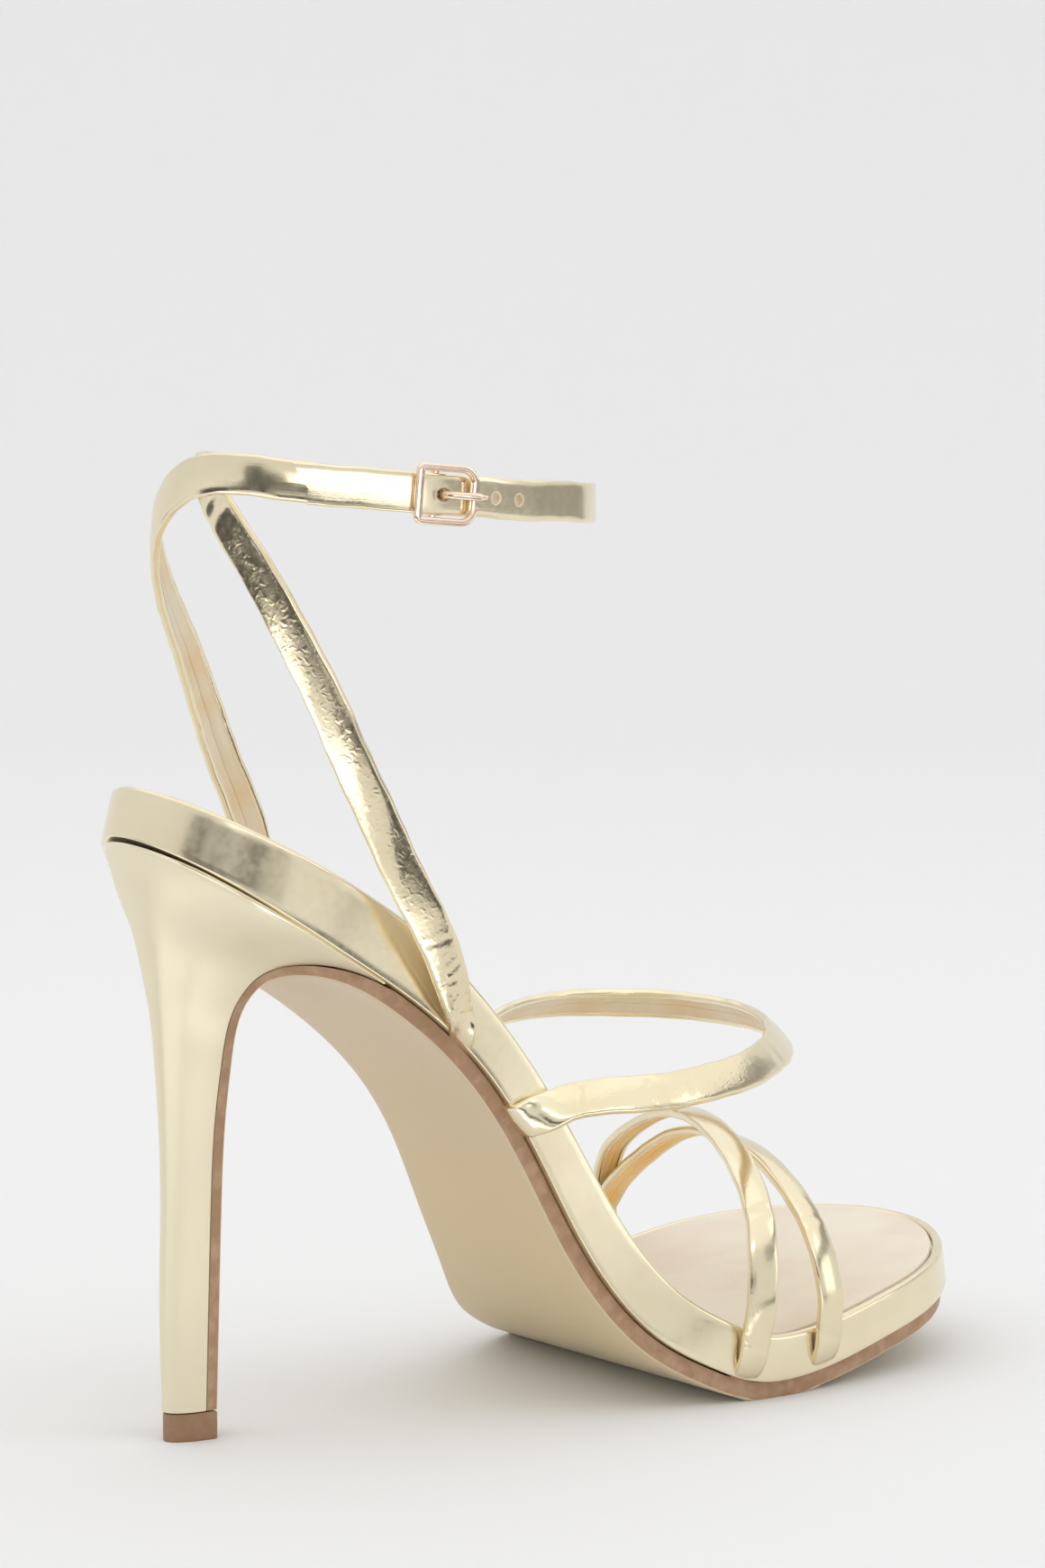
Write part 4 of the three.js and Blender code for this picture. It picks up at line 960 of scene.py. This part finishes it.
instep_places, instep_faces = strap_points(INSTEP_ROWS, INSTEP, INSTEP_CORE)
outer_end = wall_end(instep_places[[0, 1]], -1)
inner_end = wall_end(instep_places[[-1, -2]], 1)
sides = [np.tile([0.0, side, 0.0], (len(WALL_STOPS), 1)) for side in (-1, 1)]
instep_faces[0] = unit(instep_faces[1] + sides[0][0])
instep_faces[-1] = unit(instep_faces[-2] + sides[1][0])
instep_places = np.concatenate([outer_end[::-1], instep_places, inner_end])
instep_path = StrapPath(instep_places, np.concatenate([sides[0], instep_faces, sides[1]]))
instep_rings = ribbon(instep_path, INSTEP_STRAP_WIDTH, INSTEP_CREASES, 0.4, crumple=[(4.5, 9, 0.8)])
lengths = instep_rings[:, 0, 3]
for side, near in ((-1, lengths < instep_path.knots[5]), (1, lengths > instep_path.knots[-6])):
    instep_rings[near, :, :3] = tucked(instep_rings[near, :, :3], side)
strap_piece("instep_strap_lined", instep_rings, [strap_foil, lining], "instep_strap")

# Toe straps
# Two narrower straps that cross over the toes and meet above the inner edge of the sole.
# Their undersides are the bare side of the foil leather, painted deep amber as the shade inside the
# straps.

TOE_STRAP_WIDTH = 5.5
TOE = (124, 80, 46)
TOE_CORE = (0.903, 0, 0.174)
AMBER_SHADE = (0.95, 0.74, 0.4)

# along, out, up, turn
REAR_TOE_ROWS = [
    (0.772, -0.381, 0.098, 1),
    (0.772, -0.43, 0.098, 1),
    (0.773, -0.47, 0.137, 0.6),
    (0.776, -0.486, 0.239, 0.1),
    (0.784, -0.492, 0.391, 0),
    (0.798, -0.47, 0.609, 0),
    (0.819, -0.394, 0.809, 0),
    (0.847, -0.25, 0.957, 0),
    (0.879, -0.087, 1.017, 0),
    (0.903, 0.075, 1, 0),
    (0.919, 0.237, 0.904, 0),
    (0.935, 0.369, 0.757, 0),
    (0.964, 0.46, 0.565, 0),
    (0.994, 0.514, 0.38, 0),
    (1.015, 0.519, 0.265, 0.1),
    (1.026, 0.496, 0.185, 0.6),
    (1.028, 0.455, 0.152, 1),
    (1.028, 0.406, 0.152, 1),
]
FRONT_TOE_ROWS = [
    (0.915, -0.375, 0.107, 1),
    (0.915, -0.425, 0.107, 1),
    (0.915, -0.469, 0.139, 0.6),
    (0.915, -0.486, 0.235, 0.1),
    (0.915, -0.491, 0.37, 0),
    (0.915, -0.463, 0.554, 0),
    (0.919, -0.375, 0.728, 0),
    (0.931, -0.225, 0.865, 0),
    (0.944, -0.05, 0.917, 0),
    (0.953, 0.125, 0.891, 0),
    (0.958, 0.263, 0.778, 0),
    (0.962, 0.388, 0.63, 0),
    (0.964, 0.472, 0.47, 0),
    (0.961, 0.515, 0.335, 0),
    (0.96, 0.519, 0.25, 0.1),
    (0.96, 0.5, 0.159, 0.6),
    (0.96, 0.46, 0.124, 1),
    (0.96, 0.408, 0.122, 1),
]
TOE_CREASES = [
    (3.0, 0.3, 0.15, 0.5, -1, 1),
    (5.6, -0.2, 0.1, 0.8, -1, 1),
    (8.4, 0.2, 0.08, 1.0, -1, 1),
    (12.6, 0.3, 0.1, 0.7, -1, 1),
    (14.6, -0.3, 0.14, 0.5, -1, 1),
]

# Painted shade: the toe lining's base colour is deep amber, standing for the shade inside the straps.
amber_lining = strap_lining("toe_lining", AMBER, AMBER_SHADE)
for name, table, seam in (("rear", REAR_TOE_ROWS, 0.2), ("front", FRONT_TOE_ROWS, -0.3)):
    toe_path = StrapPath(*strap_points(table, TOE, TOE_CORE))
    toe_rings = ribbon(toe_path, TOE_STRAP_WIDTH, TOE_CREASES, seam, crumple=[(4, 13, 0.3)])
    strap_piece("toe_strap_" + name, toe_rings, [strap_foil, amber_lining], "toe_straps")

# Heel
# A moulded plastic stiletto heel under a thin gold foil cover, screwed to the footbed from above.
# Its front is flat and takes the tail of the outsole; the cover is rolled in at its upper edge.

STEM_UNIT = 10
SEAT_HALF = 25
STEM_POWER = 2.2
HEEL_ROLL = 0.45
BACK_ROLL = 0.12
HEEL_GAP = 0.06
HEEL_GOLD = (0.84, 0.765, 0.57)
EDGE_SHINE = 2.2
OUTSOLE_THICK = 3.2
NEAR_TOP = (0.024, 0.018, 0.013, 0.009, 0.0065, 0.0045, 0.0032, 0.0022, 0.0014, 0.0008, 0.0003, 0)

# front, front up, lateral, medial, back, back up, seat, sole
HEEL_ROWS = [
    (0.2, 0.049, 0.136, 0.136, -0.45, 0.049, 0, 0.7),
    (0.23, 0.245, 0.158, 0.158, -0.48, 0.245, 0, 0.7),
    (0.27, 0.396, 0.168, 0.168, -0.44, 0.396, 0, 0.7),
    (0.33, 0.547, 0.2, 0.2, -0.47, 0.547, 0, 0.68),
    (0.4, 0.632, 0.24, 0.24, -0.52, 0.632, 0, 0.64),
    (0.48, 0.698, 0.292, 0.292, -0.59, 0.712, 0.05, 0.6),
    (0.66, 0.751, 0.396, 0.396, -0.7, 0.783, 0.15, 0.56),
    (0.94, 0.781, 0.512, 0.504, -0.81, 0.844, 0.35, 0.55),
    (1.4, 0.793, 0.72, 0.692, -0.93, 0.896, 0.6, 0.6),
    (1.96, 0.784, 0.888, 0.808, -1.06, 0.948, 0.85, 0.75),
    (2.6, 0.757, 0.96, 0.832, -1.28, 0.993, 1, 0.92),
]

heel_rows = np.array(HEEL_ROWS)
seat_start = foot_rail.knots[3]
breast_line = heel_rows[:, :2] * (STEM_UNIT, HEEL_HEIGHT)
breast_rail = Rail(np.concatenate([breast_line, foot_rail.point(foot_rail.knots[4:9])]))
breast_length = breast_rail.knots[len(heel_rows) - 1]
heel_columns = spline(
    breast_rail.knots[: len(heel_rows)],
    heel_rows[:, 2:] * (SEAT_HALF, SEAT_HALF, STEM_UNIT, HEEL_HEIGHT, 1, OUTSOLE_THICK),
)


def signed_power(v, n):
    return np.sign(v) * np.abs(v) ** n


def heel_point(s, angle):
    """A point of the heel's surface: s up the breast, angle round from the inner side to the outer."""
    front = breast_rail.point(s)
    column = heel_columns(s)
    lateral, medial, back, back_up = (column[..., i] for i in range(4))
    share = np.clip(column[..., 4], 0, 1)
    station = seat_start - (seat_start + SEAT_REACH) * np.cos(angle)
    sides = outline_sides(station)
    reach = outline_sides(np.array(seat_start))
    seat_share = np.where(angle > 0, sides[1] / reach[1], -sides[0] / reach[0])
    seat_share = np.where(np.abs(angle) < 1e-6, 0, seat_share)
    round_back = signed_power(np.cos(angle), 2 / STEM_POWER)
    depth = round_back + (np.cos(angle) - round_back) * share
    round_side = signed_power(np.sin(angle), 2 / STEM_POWER)
    across = round_side + (seat_share - round_side) * share
    half = np.where(angle > 0, medial, lateral)
    x = front[..., 0] + (back - front[..., 0]) * depth
    z = front[..., 1] + (back_up - front[..., 1]) * depth
    return np.stack([x, across * half, z], -1)


def heel_tops(angles):
    """For each way round, how far up the breast the heel meets the footbed's underside."""
    climb = np.linspace(0, breast_length, 260)
    under = np.arange(-3, foot_rail.length * 0.5, 0.2)
    over = over_board(heel_point(climb[:, None], angles[None, :]), under)[1] + HEEL_GAP
    tops = np.full(len(angles), breast_length)
    for j in range(len(angles)):
        past = np.nonzero(over[:, j] > 0)[0]
        if len(past):
            i = past[0]
            share = over[i - 1, j] / (over[i - 1, j] - over[i, j])
            tops[j] = climb[i - 1] + share * (climb[i] - climb[i - 1])
    return tops


angles = np.linspace(math.pi / 2 - 0.001, -math.pi / 2 + 0.001, 97)
rise = np.concatenate([np.linspace(0, 0.97, 110), 1 - np.array(NEAR_TOP)])
surface = heel_point(rise[:, None] * heel_tops(angles), angles[None, :])
outward = unit(np.cross(np.gradient(surface, axis=1), np.gradient(surface, axis=0)))
if outward[len(rise) // 2, len(angles) // 2, 0] > 0:
    outward = -outward
below = np.linalg.norm(surface - surface[-1:], axis=2)
roll = BACK_ROLL + (HEEL_ROLL - BACK_ROLL) * smooth(np.abs(np.sin(angles)), 0.1, 0.6)
rolled = np.clip(1 - below / roll, 0, 1)
surface = surface - outward * (roll * (1 - np.sqrt(1 - rolled**2)))[..., None]
points, faces, kinds = stack(np.concatenate([surface, below[..., None]], 2), 6)
heel_foil = foil_leather("heel_foil", HEEL_GOLD, GOLD, 0.4, 0.62)
tree = heel_foil.node_tree
shader = tree.nodes["Principled BSDF"]
from_edge = layer_of(tree, "from_edge")
dull = remap(tree, from_edge, 0.3, EDGE_SHINE, 0.13, 0.4)
bright = remap(tree, from_edge, 0.3, EDGE_SHINE, 0.95, 0.62)
wire(tree, shader, Roughness=dull, Metallic=bright)
heel = make_piece("heel_covered", points, faces, [heel_foil], from_edge=points[:, 3])
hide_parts("heel")

# Outsole
# A smooth tan sole cut in one with the strip that runs down the front of the heel.
# Its edge is painted brown, and its thin lighter border shows where the edge was trimmed.

OUTSOLE_INSET = 1.4
TREAD_SNAP = 0.3
SOLE_TAN = (0.67, 0.54, 0.33)
SOLE_PINK = (0.69, 0.54, 0.34)
SOLE_GOLD = (0.7, 0.56, 0.31)
SOLE_BORDER = (0.68, 0.57, 0.41)
EDGE_BROWN = (0.39, 0.225, 0.12)
EDGE_WORN = (0.5, 0.32, 0.2)

crown = breast_rail.knots[5]
climb = np.linspace(0, crown, 45)[:-1]
breast_stations = np.concatenate([climb, np.linspace(crown, breast_length, 60)])
join_x = breast_rail.point(breast_length)[0] + 1
sole_line = outline_ring(lambda s: np.full_like(s, OUTSOLE_INSET))
count = len(sole_line) // 2
lateral_line = sole_line[:count]
medial_line = sole_line[count:][::-1]
onward = foot_rail.point(np.minimum(lateral_line[:, 0], medial_line[:, 0]))[:, 0] > join_x
breast_columns = heel_columns(breast_stations)


def sole_ring(depth, inset):
    """The sole's outline at a depth under its upper face, and for each point the y of both edges.
    Depth is a function of thickness."""
    sides = []
    lanes = ((lateral_line, 1, -breast_columns[:, 0]), (medial_line, -1, breast_columns[:, 1]))
    narrow = np.minimum(inset, np.abs(medial_line[:, 1] - lateral_line[:, 1]) / 2)
    strip_height = -FIT_GAP - depth(breast_columns[:, 5])
    plate_height = np.full(count, -FIT_GAP - depth(OUTSOLE_THICK))
    for lane, sign, breast_half in lanes:
        strip = breast_rail.at(breast_stations, breast_half + sign * inset, strip_height)
        plate = foot_rail.at(lane[:, 0], lane[:, 1] + sign * narrow, plate_height)
        side = np.concatenate([strip, plate[onward]])
        z = side[:, 2]
        side[:, 2] = np.maximum(z, 0) * smooth(z, TREAD_SNAP * 0.5, TREAD_SNAP * 3)
        sides.append(side)
    edges = np.stack([sides[0][:, 1], sides[1][:, 1]], 1)
    lateral, medial = (np.concatenate([side, edges], 1) for side in sides)
    return np.concatenate([lateral, medial[::-1]])


sole_rings = []
for inset, rise in quarter_round(EDGE_ROUND, 5):
    sole_rings.append(sole_ring(lambda t, rise=rise: t - rise, inset))
sole_rings.append(sole_ring(lambda t: t * 0.5, 0))
sole_rings.append(sole_ring(lambda t: t * 0, 0))
points, faces, kinds = stack(np.array(sole_rings), 18)
border = np.minimum(points[:, 1] - points[:, 3], points[:, 4] - points[:, 1])
slots = [0 if k < 3 else 1 for k, _ in kinds]
sole_leather, tree, shader = new_material("sole_leather", SOLE_TAN, 0.45)
place = millimetres(tree)
level = remap(tree, axis_of(tree, place, "Z"), 0, 75)
color = blend(tree, level, SOLE_GOLD, SOLE_PINK)
rim = remap(tree, layer_of(tree, "border"), 0.9, 1.2, 0.35, 0)
color = blend(tree, rim, color, SOLE_BORDER)
shader.inputs["Sheen Weight"].default_value = 0.2
normal = bump(tree, noise(tree, place, 4.0, 4, 0.7), 0.012)
normal = bump(tree, noise(tree, place, 0.12, 2), 0.12, normal)
wire(tree, shader, Base_Color=color, Normal=normal)
edge_paint, tree, shader = new_material("edge_paint", EDGE_BROWN, 0.5)
place = millimetres(tree)
worn = remap(tree, noise(tree, place, 0.35, 4), 0.35, 0.75)
color = blend(tree, worn, EDGE_BROWN, EDGE_WORN)
wire(tree, shader, Base_Color=color, Normal=bump(tree, noise(tree, place, 2.0, 4), 0.04))
sole_paints = [sole_leather, edge_paint]
outsole = make_piece("outsole_plate", points, faces, sole_paints, slots, 60, border=border)
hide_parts("outsole")

# Heel tip
# A moulded brown plastic top piece, pinned into the end of the stem.

TIP_HEIGHT = 4.9
TIP_FRONT = 4.2
TIP_BACK = -4.4
TIP_HALF = 3.5
TIP_EDGE = 0.3
TIP_CHAMFER = 0.15
TIP_BROWN = (0.31, 0.165, 0.08)
TIP_SCUFFED = (0.33, 0.2, 0.12)

tip_angles = np.linspace(math.pi / 2, -math.pi / 2, 61)
tip_depth = signed_power(np.cos(tip_angles), 2 / STEM_POWER)
tip_across = signed_power(np.sin(tip_angles), 2 / STEM_POWER)
tip_levels = quarter_round(TIP_EDGE, 4)
tip_levels += [(0, 1.6), (0, 3.2), (0, TIP_HEIGHT - TIP_CHAMFER), (TIP_CHAMFER, TIP_HEIGHT)]
tip_rings = []
for edge, z in tip_levels:
    x = TIP_FRONT - edge + (TIP_BACK + edge - TIP_FRONT + edge) * tip_depth
    tip_rings.append(np.stack([x, (TIP_HALF - edge) * tip_across, np.full_like(x, z)], 1))
points, faces, kinds = stack(np.array(tip_rings), 8)
tip_plastic, tree, shader = new_material("tip_plastic", TIP_BROWN, 0.42)
place = millimetres(tree)
scuffs = remap(tree, noise(tree, place, 0.5, 3), 0.35, 0.7)
color = blend(tree, scuffs, TIP_BROWN, TIP_SCUFFED)
wire(tree, shader, Base_Color=color, Normal=bump(tree, noise(tree, place, 3.0, 3), 0.015))
tip = make_piece("heel_top_piece", points, faces, [tip_plastic])
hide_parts("heel_tip")

# Buckle
# A cast frame of polished rose gold metal with a centre bar, and a prong whose eye turns on that bar.
# It is squarer behind and rounder in front, where the prong's tip rests.

BUCKLE_LENGTH = 11.8
BUCKLE_WIDTH = 10.4
FRAME_BAR = 1.35
LEG = 1.3
PRONG_WIDTH = 1.3
PRONG_THICK = 1.2
EYE_WIRE = 0.45
FRONT_CORNER = 3.1
BACK_CORNER = 1.4
FRAME_BOW = 0.0012
FRAME_SQUARENESS = 0.7
ROSE = (0.93, 0.74, 0.6)


def buckle_outline(inset):
    """The frame's outline as ahead and up, moved inwards from its outer edge."""
    a = BUCKLE_LENGTH / 2 - inset
    b = BUCKLE_WIDTH / 2 - inset
    loop = []
    for sx, sy in ((1, 1), (-1, 1), (-1, -1), (1, -1)):
        radius = max((FRONT_CORNER if sx > 0 else BACK_CORNER) - inset, 0.3)
        turn = np.linspace(0, math.pi / 2, 13)[:: sx * sy]
        ahead = sx * (a - radius * (1 - np.cos(turn)))
        up = sy * (b - radius * (1 - np.sin(turn)))
        loop.append(np.stack([ahead, up], 1))
    return np.concatenate(loop)


def closed_tube(rings):
    """Faces of a tube that joins on to its own start."""
    count = rings.shape[1]
    faces = []
    for k in range(len(rings)):
        for j in range(count):
            n = (j + 1) % count
            m = (k + 1) % len(rings)
            faces.append((k * count + j, k * count + n, m * count + n, m * count + j))
    return faces


def tube(line, widths, heights, side, sides=16, squareness=3.0):
    """Rings of a bar with a rounded square section along a line of points; stack caps its ends."""
    line = np.array(line)
    along = unit(np.gradient(line, axis=0))
    side = np.broadcast_to(unit(np.array(side)), line.shape)
    top = unit(np.cross(along, side))
    turn = math.pi / 2 - (np.arange(sides) + 0.5) * 2 * math.pi / sides
    c = signed_power(np.cos(turn), 2 / squareness)
    s = signed_power(np.sin(turn), 2 / squareness)
    rings = []
    for i in range(len(line)):
        across = side[i] * (c * widths[i] / 2)[:, None]
        rings.append(line[i] + across + top[i] * (s * heights[i] / 2)[:, None])
    return np.array(rings)


frame_sections = []
bar_low = STRAP_THICK / 2 + FIT_GAP
for turn in np.linspace(0, 2 * math.pi, 20, endpoint=False):
    inset = FRAME_BAR / 2 * (1 + signed_power(math.cos(turn), FRAME_SQUARENESS))
    height = bar_low + FRAME_BAR / 2 * (1 + signed_power(math.sin(turn), FRAME_SQUARENESS))
    loop = buckle_outline(float(inset))
    bowed = FRAME_BOW * loop[:, 0] ** 2
    frame_sections.append([buckle_spot(x, height - c, y) for (x, y), c in zip(loop, bowed)])
frame_rings = np.array(frame_sections)
frame_faces = closed_tube(frame_rings)
frame_points = frame_rings.reshape(-1, 3)
rose_metal, tree, shader = new_material("rose_metal", ROSE, 0.12, 1.0)
place = millimetres(tree)
rough = remap(tree, noise(tree, place, 1.2, 4), 0.3, 0.75, 0.1, 0.2)
wire(tree, shader, Roughness=rough, Normal=bump(tree, noise(tree, place, 0.5, 2), 0.05))


def joined(*parts):
    points = []
    faces = []
    for part_points, part_faces in parts:
        start = sum(len(p) for p in points)
        points.append(part_points)
        faces += [tuple(i + start for i in f) for f in part_faces]
    return np.concatenate(points), faces


half_bar = (BUCKLE_WIDTH - LEG) / 2
bar_line = [buckle_spot(0, bar_depth, u) for u in np.linspace(-half_bar, half_bar, 8)]
bar_size = [2 * CENTRE_BAR_RADIUS] * 8
bar_rings = tube(bar_line, bar_size, bar_size, forward, squareness=2.0)
parts = [(frame_points, frame_faces), stack(bar_rings)[:2]]
leg_top = bar_low + FRAME_BAR / 2
for sign in (-1, 1):
    leg_line = [
        buckle_spot(0, out, sign * half_bar)
        for out in np.linspace(bar_depth - CENTRE_BAR_RADIUS, leg_top, 8)
    ]
    leg_rings = tube(leg_line, [LEG] * 8, [LEG * 0.8] * 8, forward)
    parts.append(stack(leg_rings)[:2])
points, faces = joined(*parts)
buckle = make_piece("buckle_frame_cast", points, faces, [rose_metal], None, 60)
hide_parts("buckle_frame")

tip_out = STRAP_THICK / 2 + 2 * FIT_GAP + FRAME_BAR + PRONG_THICK / 2
prong_line = [
    (0, bar_depth + CENTRE_BAR_RADIUS + FIT_GAP + PRONG_THICK / 2),
    (0, STRAP_THICK / 2 - 0.2),
    (0.5, STRAP_THICK / 2 + 1),
    (2, STRAP_THICK / 2 + 2.1),
    (BUCKLE_LENGTH / 2 - FRAME_BAR - 0.4, tip_out),
    (BUCKLE_LENGTH / 2 - 0.2, tip_out),
    (BUCKLE_LENGTH / 2 + 1, tip_out - 0.1),
]
prong_knots = np.arange(len(prong_line), dtype=float)
prong_curve = spline(prong_knots, np.array(prong_line))(np.linspace(0, len(prong_line) - 1, 40))
taper = 1 - 0.45 * smooth(np.linspace(0, 1, 40), 0.75, 1)
stem = tube(
    [buckle_spot(a, o) for a, o in prong_curve],
    PRONG_WIDTH * taper,
    PRONG_THICK * taper,
    upward,
    squareness=2.6,
)
eye_radius = CENTRE_BAR_RADIUS + FIT_GAP + EYE_WIRE
eye_rings = []
for turn in np.linspace(0, 2 * math.pi, 32, endpoint=False):
    spoke = forward * math.cos(turn) + buckle_face * math.sin(turn)
    middle = buckle_spot(0, bar_depth) + spoke * eye_radius
    ring = [
        middle + spoke * (EYE_WIRE * math.cos(v)) + upward * (PRONG_WIDTH / 2 * math.sin(v))
        for v in np.linspace(0, 2 * math.pi, 12, endpoint=False)
    ]
    eye_rings.append(ring)
eye_rings = np.array(eye_rings)
points, faces = joined(stack(stem)[:2], (eye_rings.reshape(-1, 3), closed_tube(eye_rings)))
prong = make_piece("buckle_prong_cast", points, faces, [rose_metal], None, 60)
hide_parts("buckle_prong")

# Studio
# A pale floor that curves up into a wall all round, lit from above and from both sides.

WALL_DISTANCE = 2.4
WALL_BEND = 0.9
WALL_HEIGHT = 1.6
WALL_SIDES = 64
STUDIO_CENTRE = 0.08
STUDIO_WHITE = (0.84, 0.84, 0.84)

profile = [(0.5, 0.0), (1.0, 0.0), (WALL_DISTANCE - WALL_BEND, 0.0)]
for short, rise in quarter_round(WALL_BEND, 12)[1:]:
    profile.append((WALL_DISTANCE - short, rise))
profile.append((WALL_DISTANCE, WALL_HEIGHT))
bowl = bmesh.new()
rim_points = []
for radius, z in profile:
    ring = []
    for turn in np.linspace(0, 2 * math.pi, WALL_SIDES, endpoint=False):
        x = radius * math.cos(turn) + STUDIO_CENTRE
        ring.append(bowl.verts.new((x, radius * math.sin(turn), z)))
    rim_points.append(ring)
bowl.faces.new(rim_points[0])
for low, high in zip(rim_points, rim_points[1:]):
    for j in range(WALL_SIDES):
        n = (j + 1) % WALL_SIDES
        bowl.faces.new((low[n], low[j], high[j], high[n]))
floor_mesh = bpy.data.meshes.new("studio_floor")
bowl.to_mesh(floor_mesh)
bowl.free()
floor_mesh.shade_smooth()
floor = new_object("studio_floor", floor_mesh)
floor_paint, tree, shader = new_material("studio_paint", STUDIO_WHITE, 0.9)
shader.inputs["Specular IOR Level"].default_value = 0.0
floor_mesh.materials.append(floor_paint)

world = bpy.data.worlds.new("studio_air")
world.use_nodes = True
world.node_tree.nodes["Background"].inputs["Color"].default_value = (1, 1, 1, 1)
world.node_tree.nodes["Background"].inputs["Strength"].default_value = 1.085
bpy.context.scene.world = world
bpy.context.scene.view_settings.view_transform = "Standard"


def soft_light(name, place, target, size, power, reflected=True):
    data = bpy.data.lights.new(name, "AREA")
    data.shape = "RECTANGLE"
    data.size, data.size_y = size
    data.energy = power
    lamp = new_object(name, data)
    lamp.location = place
    lamp.rotation_mode = "QUATERNION"
    lamp.rotation_quaternion = (Vector(target) - Vector(place)).to_track_quat("-Z", "Y")
    lamp.visible_camera = False
    lamp.visible_glossy = reflected


soft_light("softbox_top", (0.1, -0.1, 1.5), (0.08, 0, 0), (1.2, 1.2), 0.75)
soft_light("softbox_left", (-1.3, 0.5, 0.7), (0.08, 0, 0.08), (0.8, 1.2), 1.3, False)
soft_light("softbox_right", (1.0, -1.1, 0.6), (0.08, 0, 0.08), (0.6, 1.2), 1.6)

# Cards that only the foil reflects: dark flags, glowing strips.
# first and last compass angle, first and last height, distance, grey, glow
CARDS = {
    "flag_band_high": (-166, -150, -10, 11.5, 0.35, 0.09, 0),
    "flag_band_middle": (-150, -135, -10, 5.7, 0.35, 0.09, 0),
    "flag_band_low": (-135, -112, -10, 1.6, 0.35, 0.09, 0),
    "flag_fade": (-112, -97, -10, 0, 0.35, 0.45, 0),
    "strip_for_tail": (-139, -84, 6.4, 13, 0.18, 0.8, 2.4),
    "flag_right": (-72, 8, 1, 11, 0.3, 0.38, 0),
    "flag_floor_corner": (136, 162, -22, -9, 9, 0.02, 0),
    "flag_floor_back": (162, 210, -18, -9, 9, 0.02, 0),
    "flag_floor_side": (-150, -110, -26, -16, 9, 0.02, 0),
    "flag_floor_front": (-110, -45, -33, -19, 9, 0.02, 0),
    "glow_floor_back": (154, 185, -31, -20, 9, 0.8, 1.6),
    "glow_floor_side": (-175, -138, -38, -26, 9, 0.8, 1.6),
    "glow_floor_front": (-138, -60, -54, -42, 9, 0.8, 1.6),
}
CARD_CENTRE = (0.02, -0.02, 0.13)
CARD_COLUMNS = 13
CARD_ROWS = 7
CARD_LIFT = 0.004


def card_spot(turn, height, distance):
    """A place seen from the card centre, brought nearer where it would be under the floor."""
    x, y, z = CARD_CENTRE
    if height < 0:
        distance = min(distance, (z - CARD_LIFT) / -math.sin(height))
    level = distance * math.cos(height)
    return (x + level * math.cos(turn), y + level * math.sin(turn), z + distance * math.sin(height))


for name, (start, end, low, high, distance, grey, glow) in CARDS.items():
    mesh = bpy.data.meshes.new(name)
    turns = np.radians(np.linspace(start, end, CARD_COLUMNS))
    heights = np.radians(np.linspace(low, high, CARD_ROWS))
    spots = [card_spot(turn, height, distance) for height in heights for turn in turns]
    cells = []
    for k in range(CARD_ROWS - 1):
        for j in range(CARD_COLUMNS - 1):
            a = k * CARD_COLUMNS + j
            cells.append((a, a + 1, a + 1 + CARD_COLUMNS, a + CARD_COLUMNS))
    mesh.from_pydata(spots, [], cells)
    paint, tree, shader = new_material(name, (grey, grey, grey), 1.0)
    shader.inputs["Specular IOR Level"].default_value = 0.0
    if glow:
        shader.inputs["Emission Color"].default_value = (1, 1, 1, 1)
        shader.inputs["Emission Strength"].default_value = glow
    mesh.materials.append(paint)
    card = new_object(name, mesh)
    card.visible_camera = False
    card.visible_diffuse = False
    card.visible_shadow = False

# Camera
# It stands low behind the shoe on its outer side, as the photograph's did, and looks slightly down.

CAMERA_PLACE = (-0.4095, -0.6587, 0.1831)
CAMERA_YAW = 58.49
CAMERA_TURN = 4.7
CAMERA_PITCH = 5.06
FOCAL_PIXELS = 5000
IMAGE_HEIGHT = 1740
SENSOR = 36

camera_data = bpy.data.cameras.new("camera")
camera_data.sensor_width = SENSOR
camera_data.lens = FOCAL_PIXELS / IMAGE_HEIGHT * SENSOR
camera_data.clip_start = 0.01
camera = new_object("camera", camera_data)
camera.location = CAMERA_PLACE
camera.rotation_euler = (
    math.radians(90 - CAMERA_PITCH),
    0,
    math.radians(CAMERA_YAW - CAMERA_TURN - 90),
)
bpy.context.scene.camera = camera
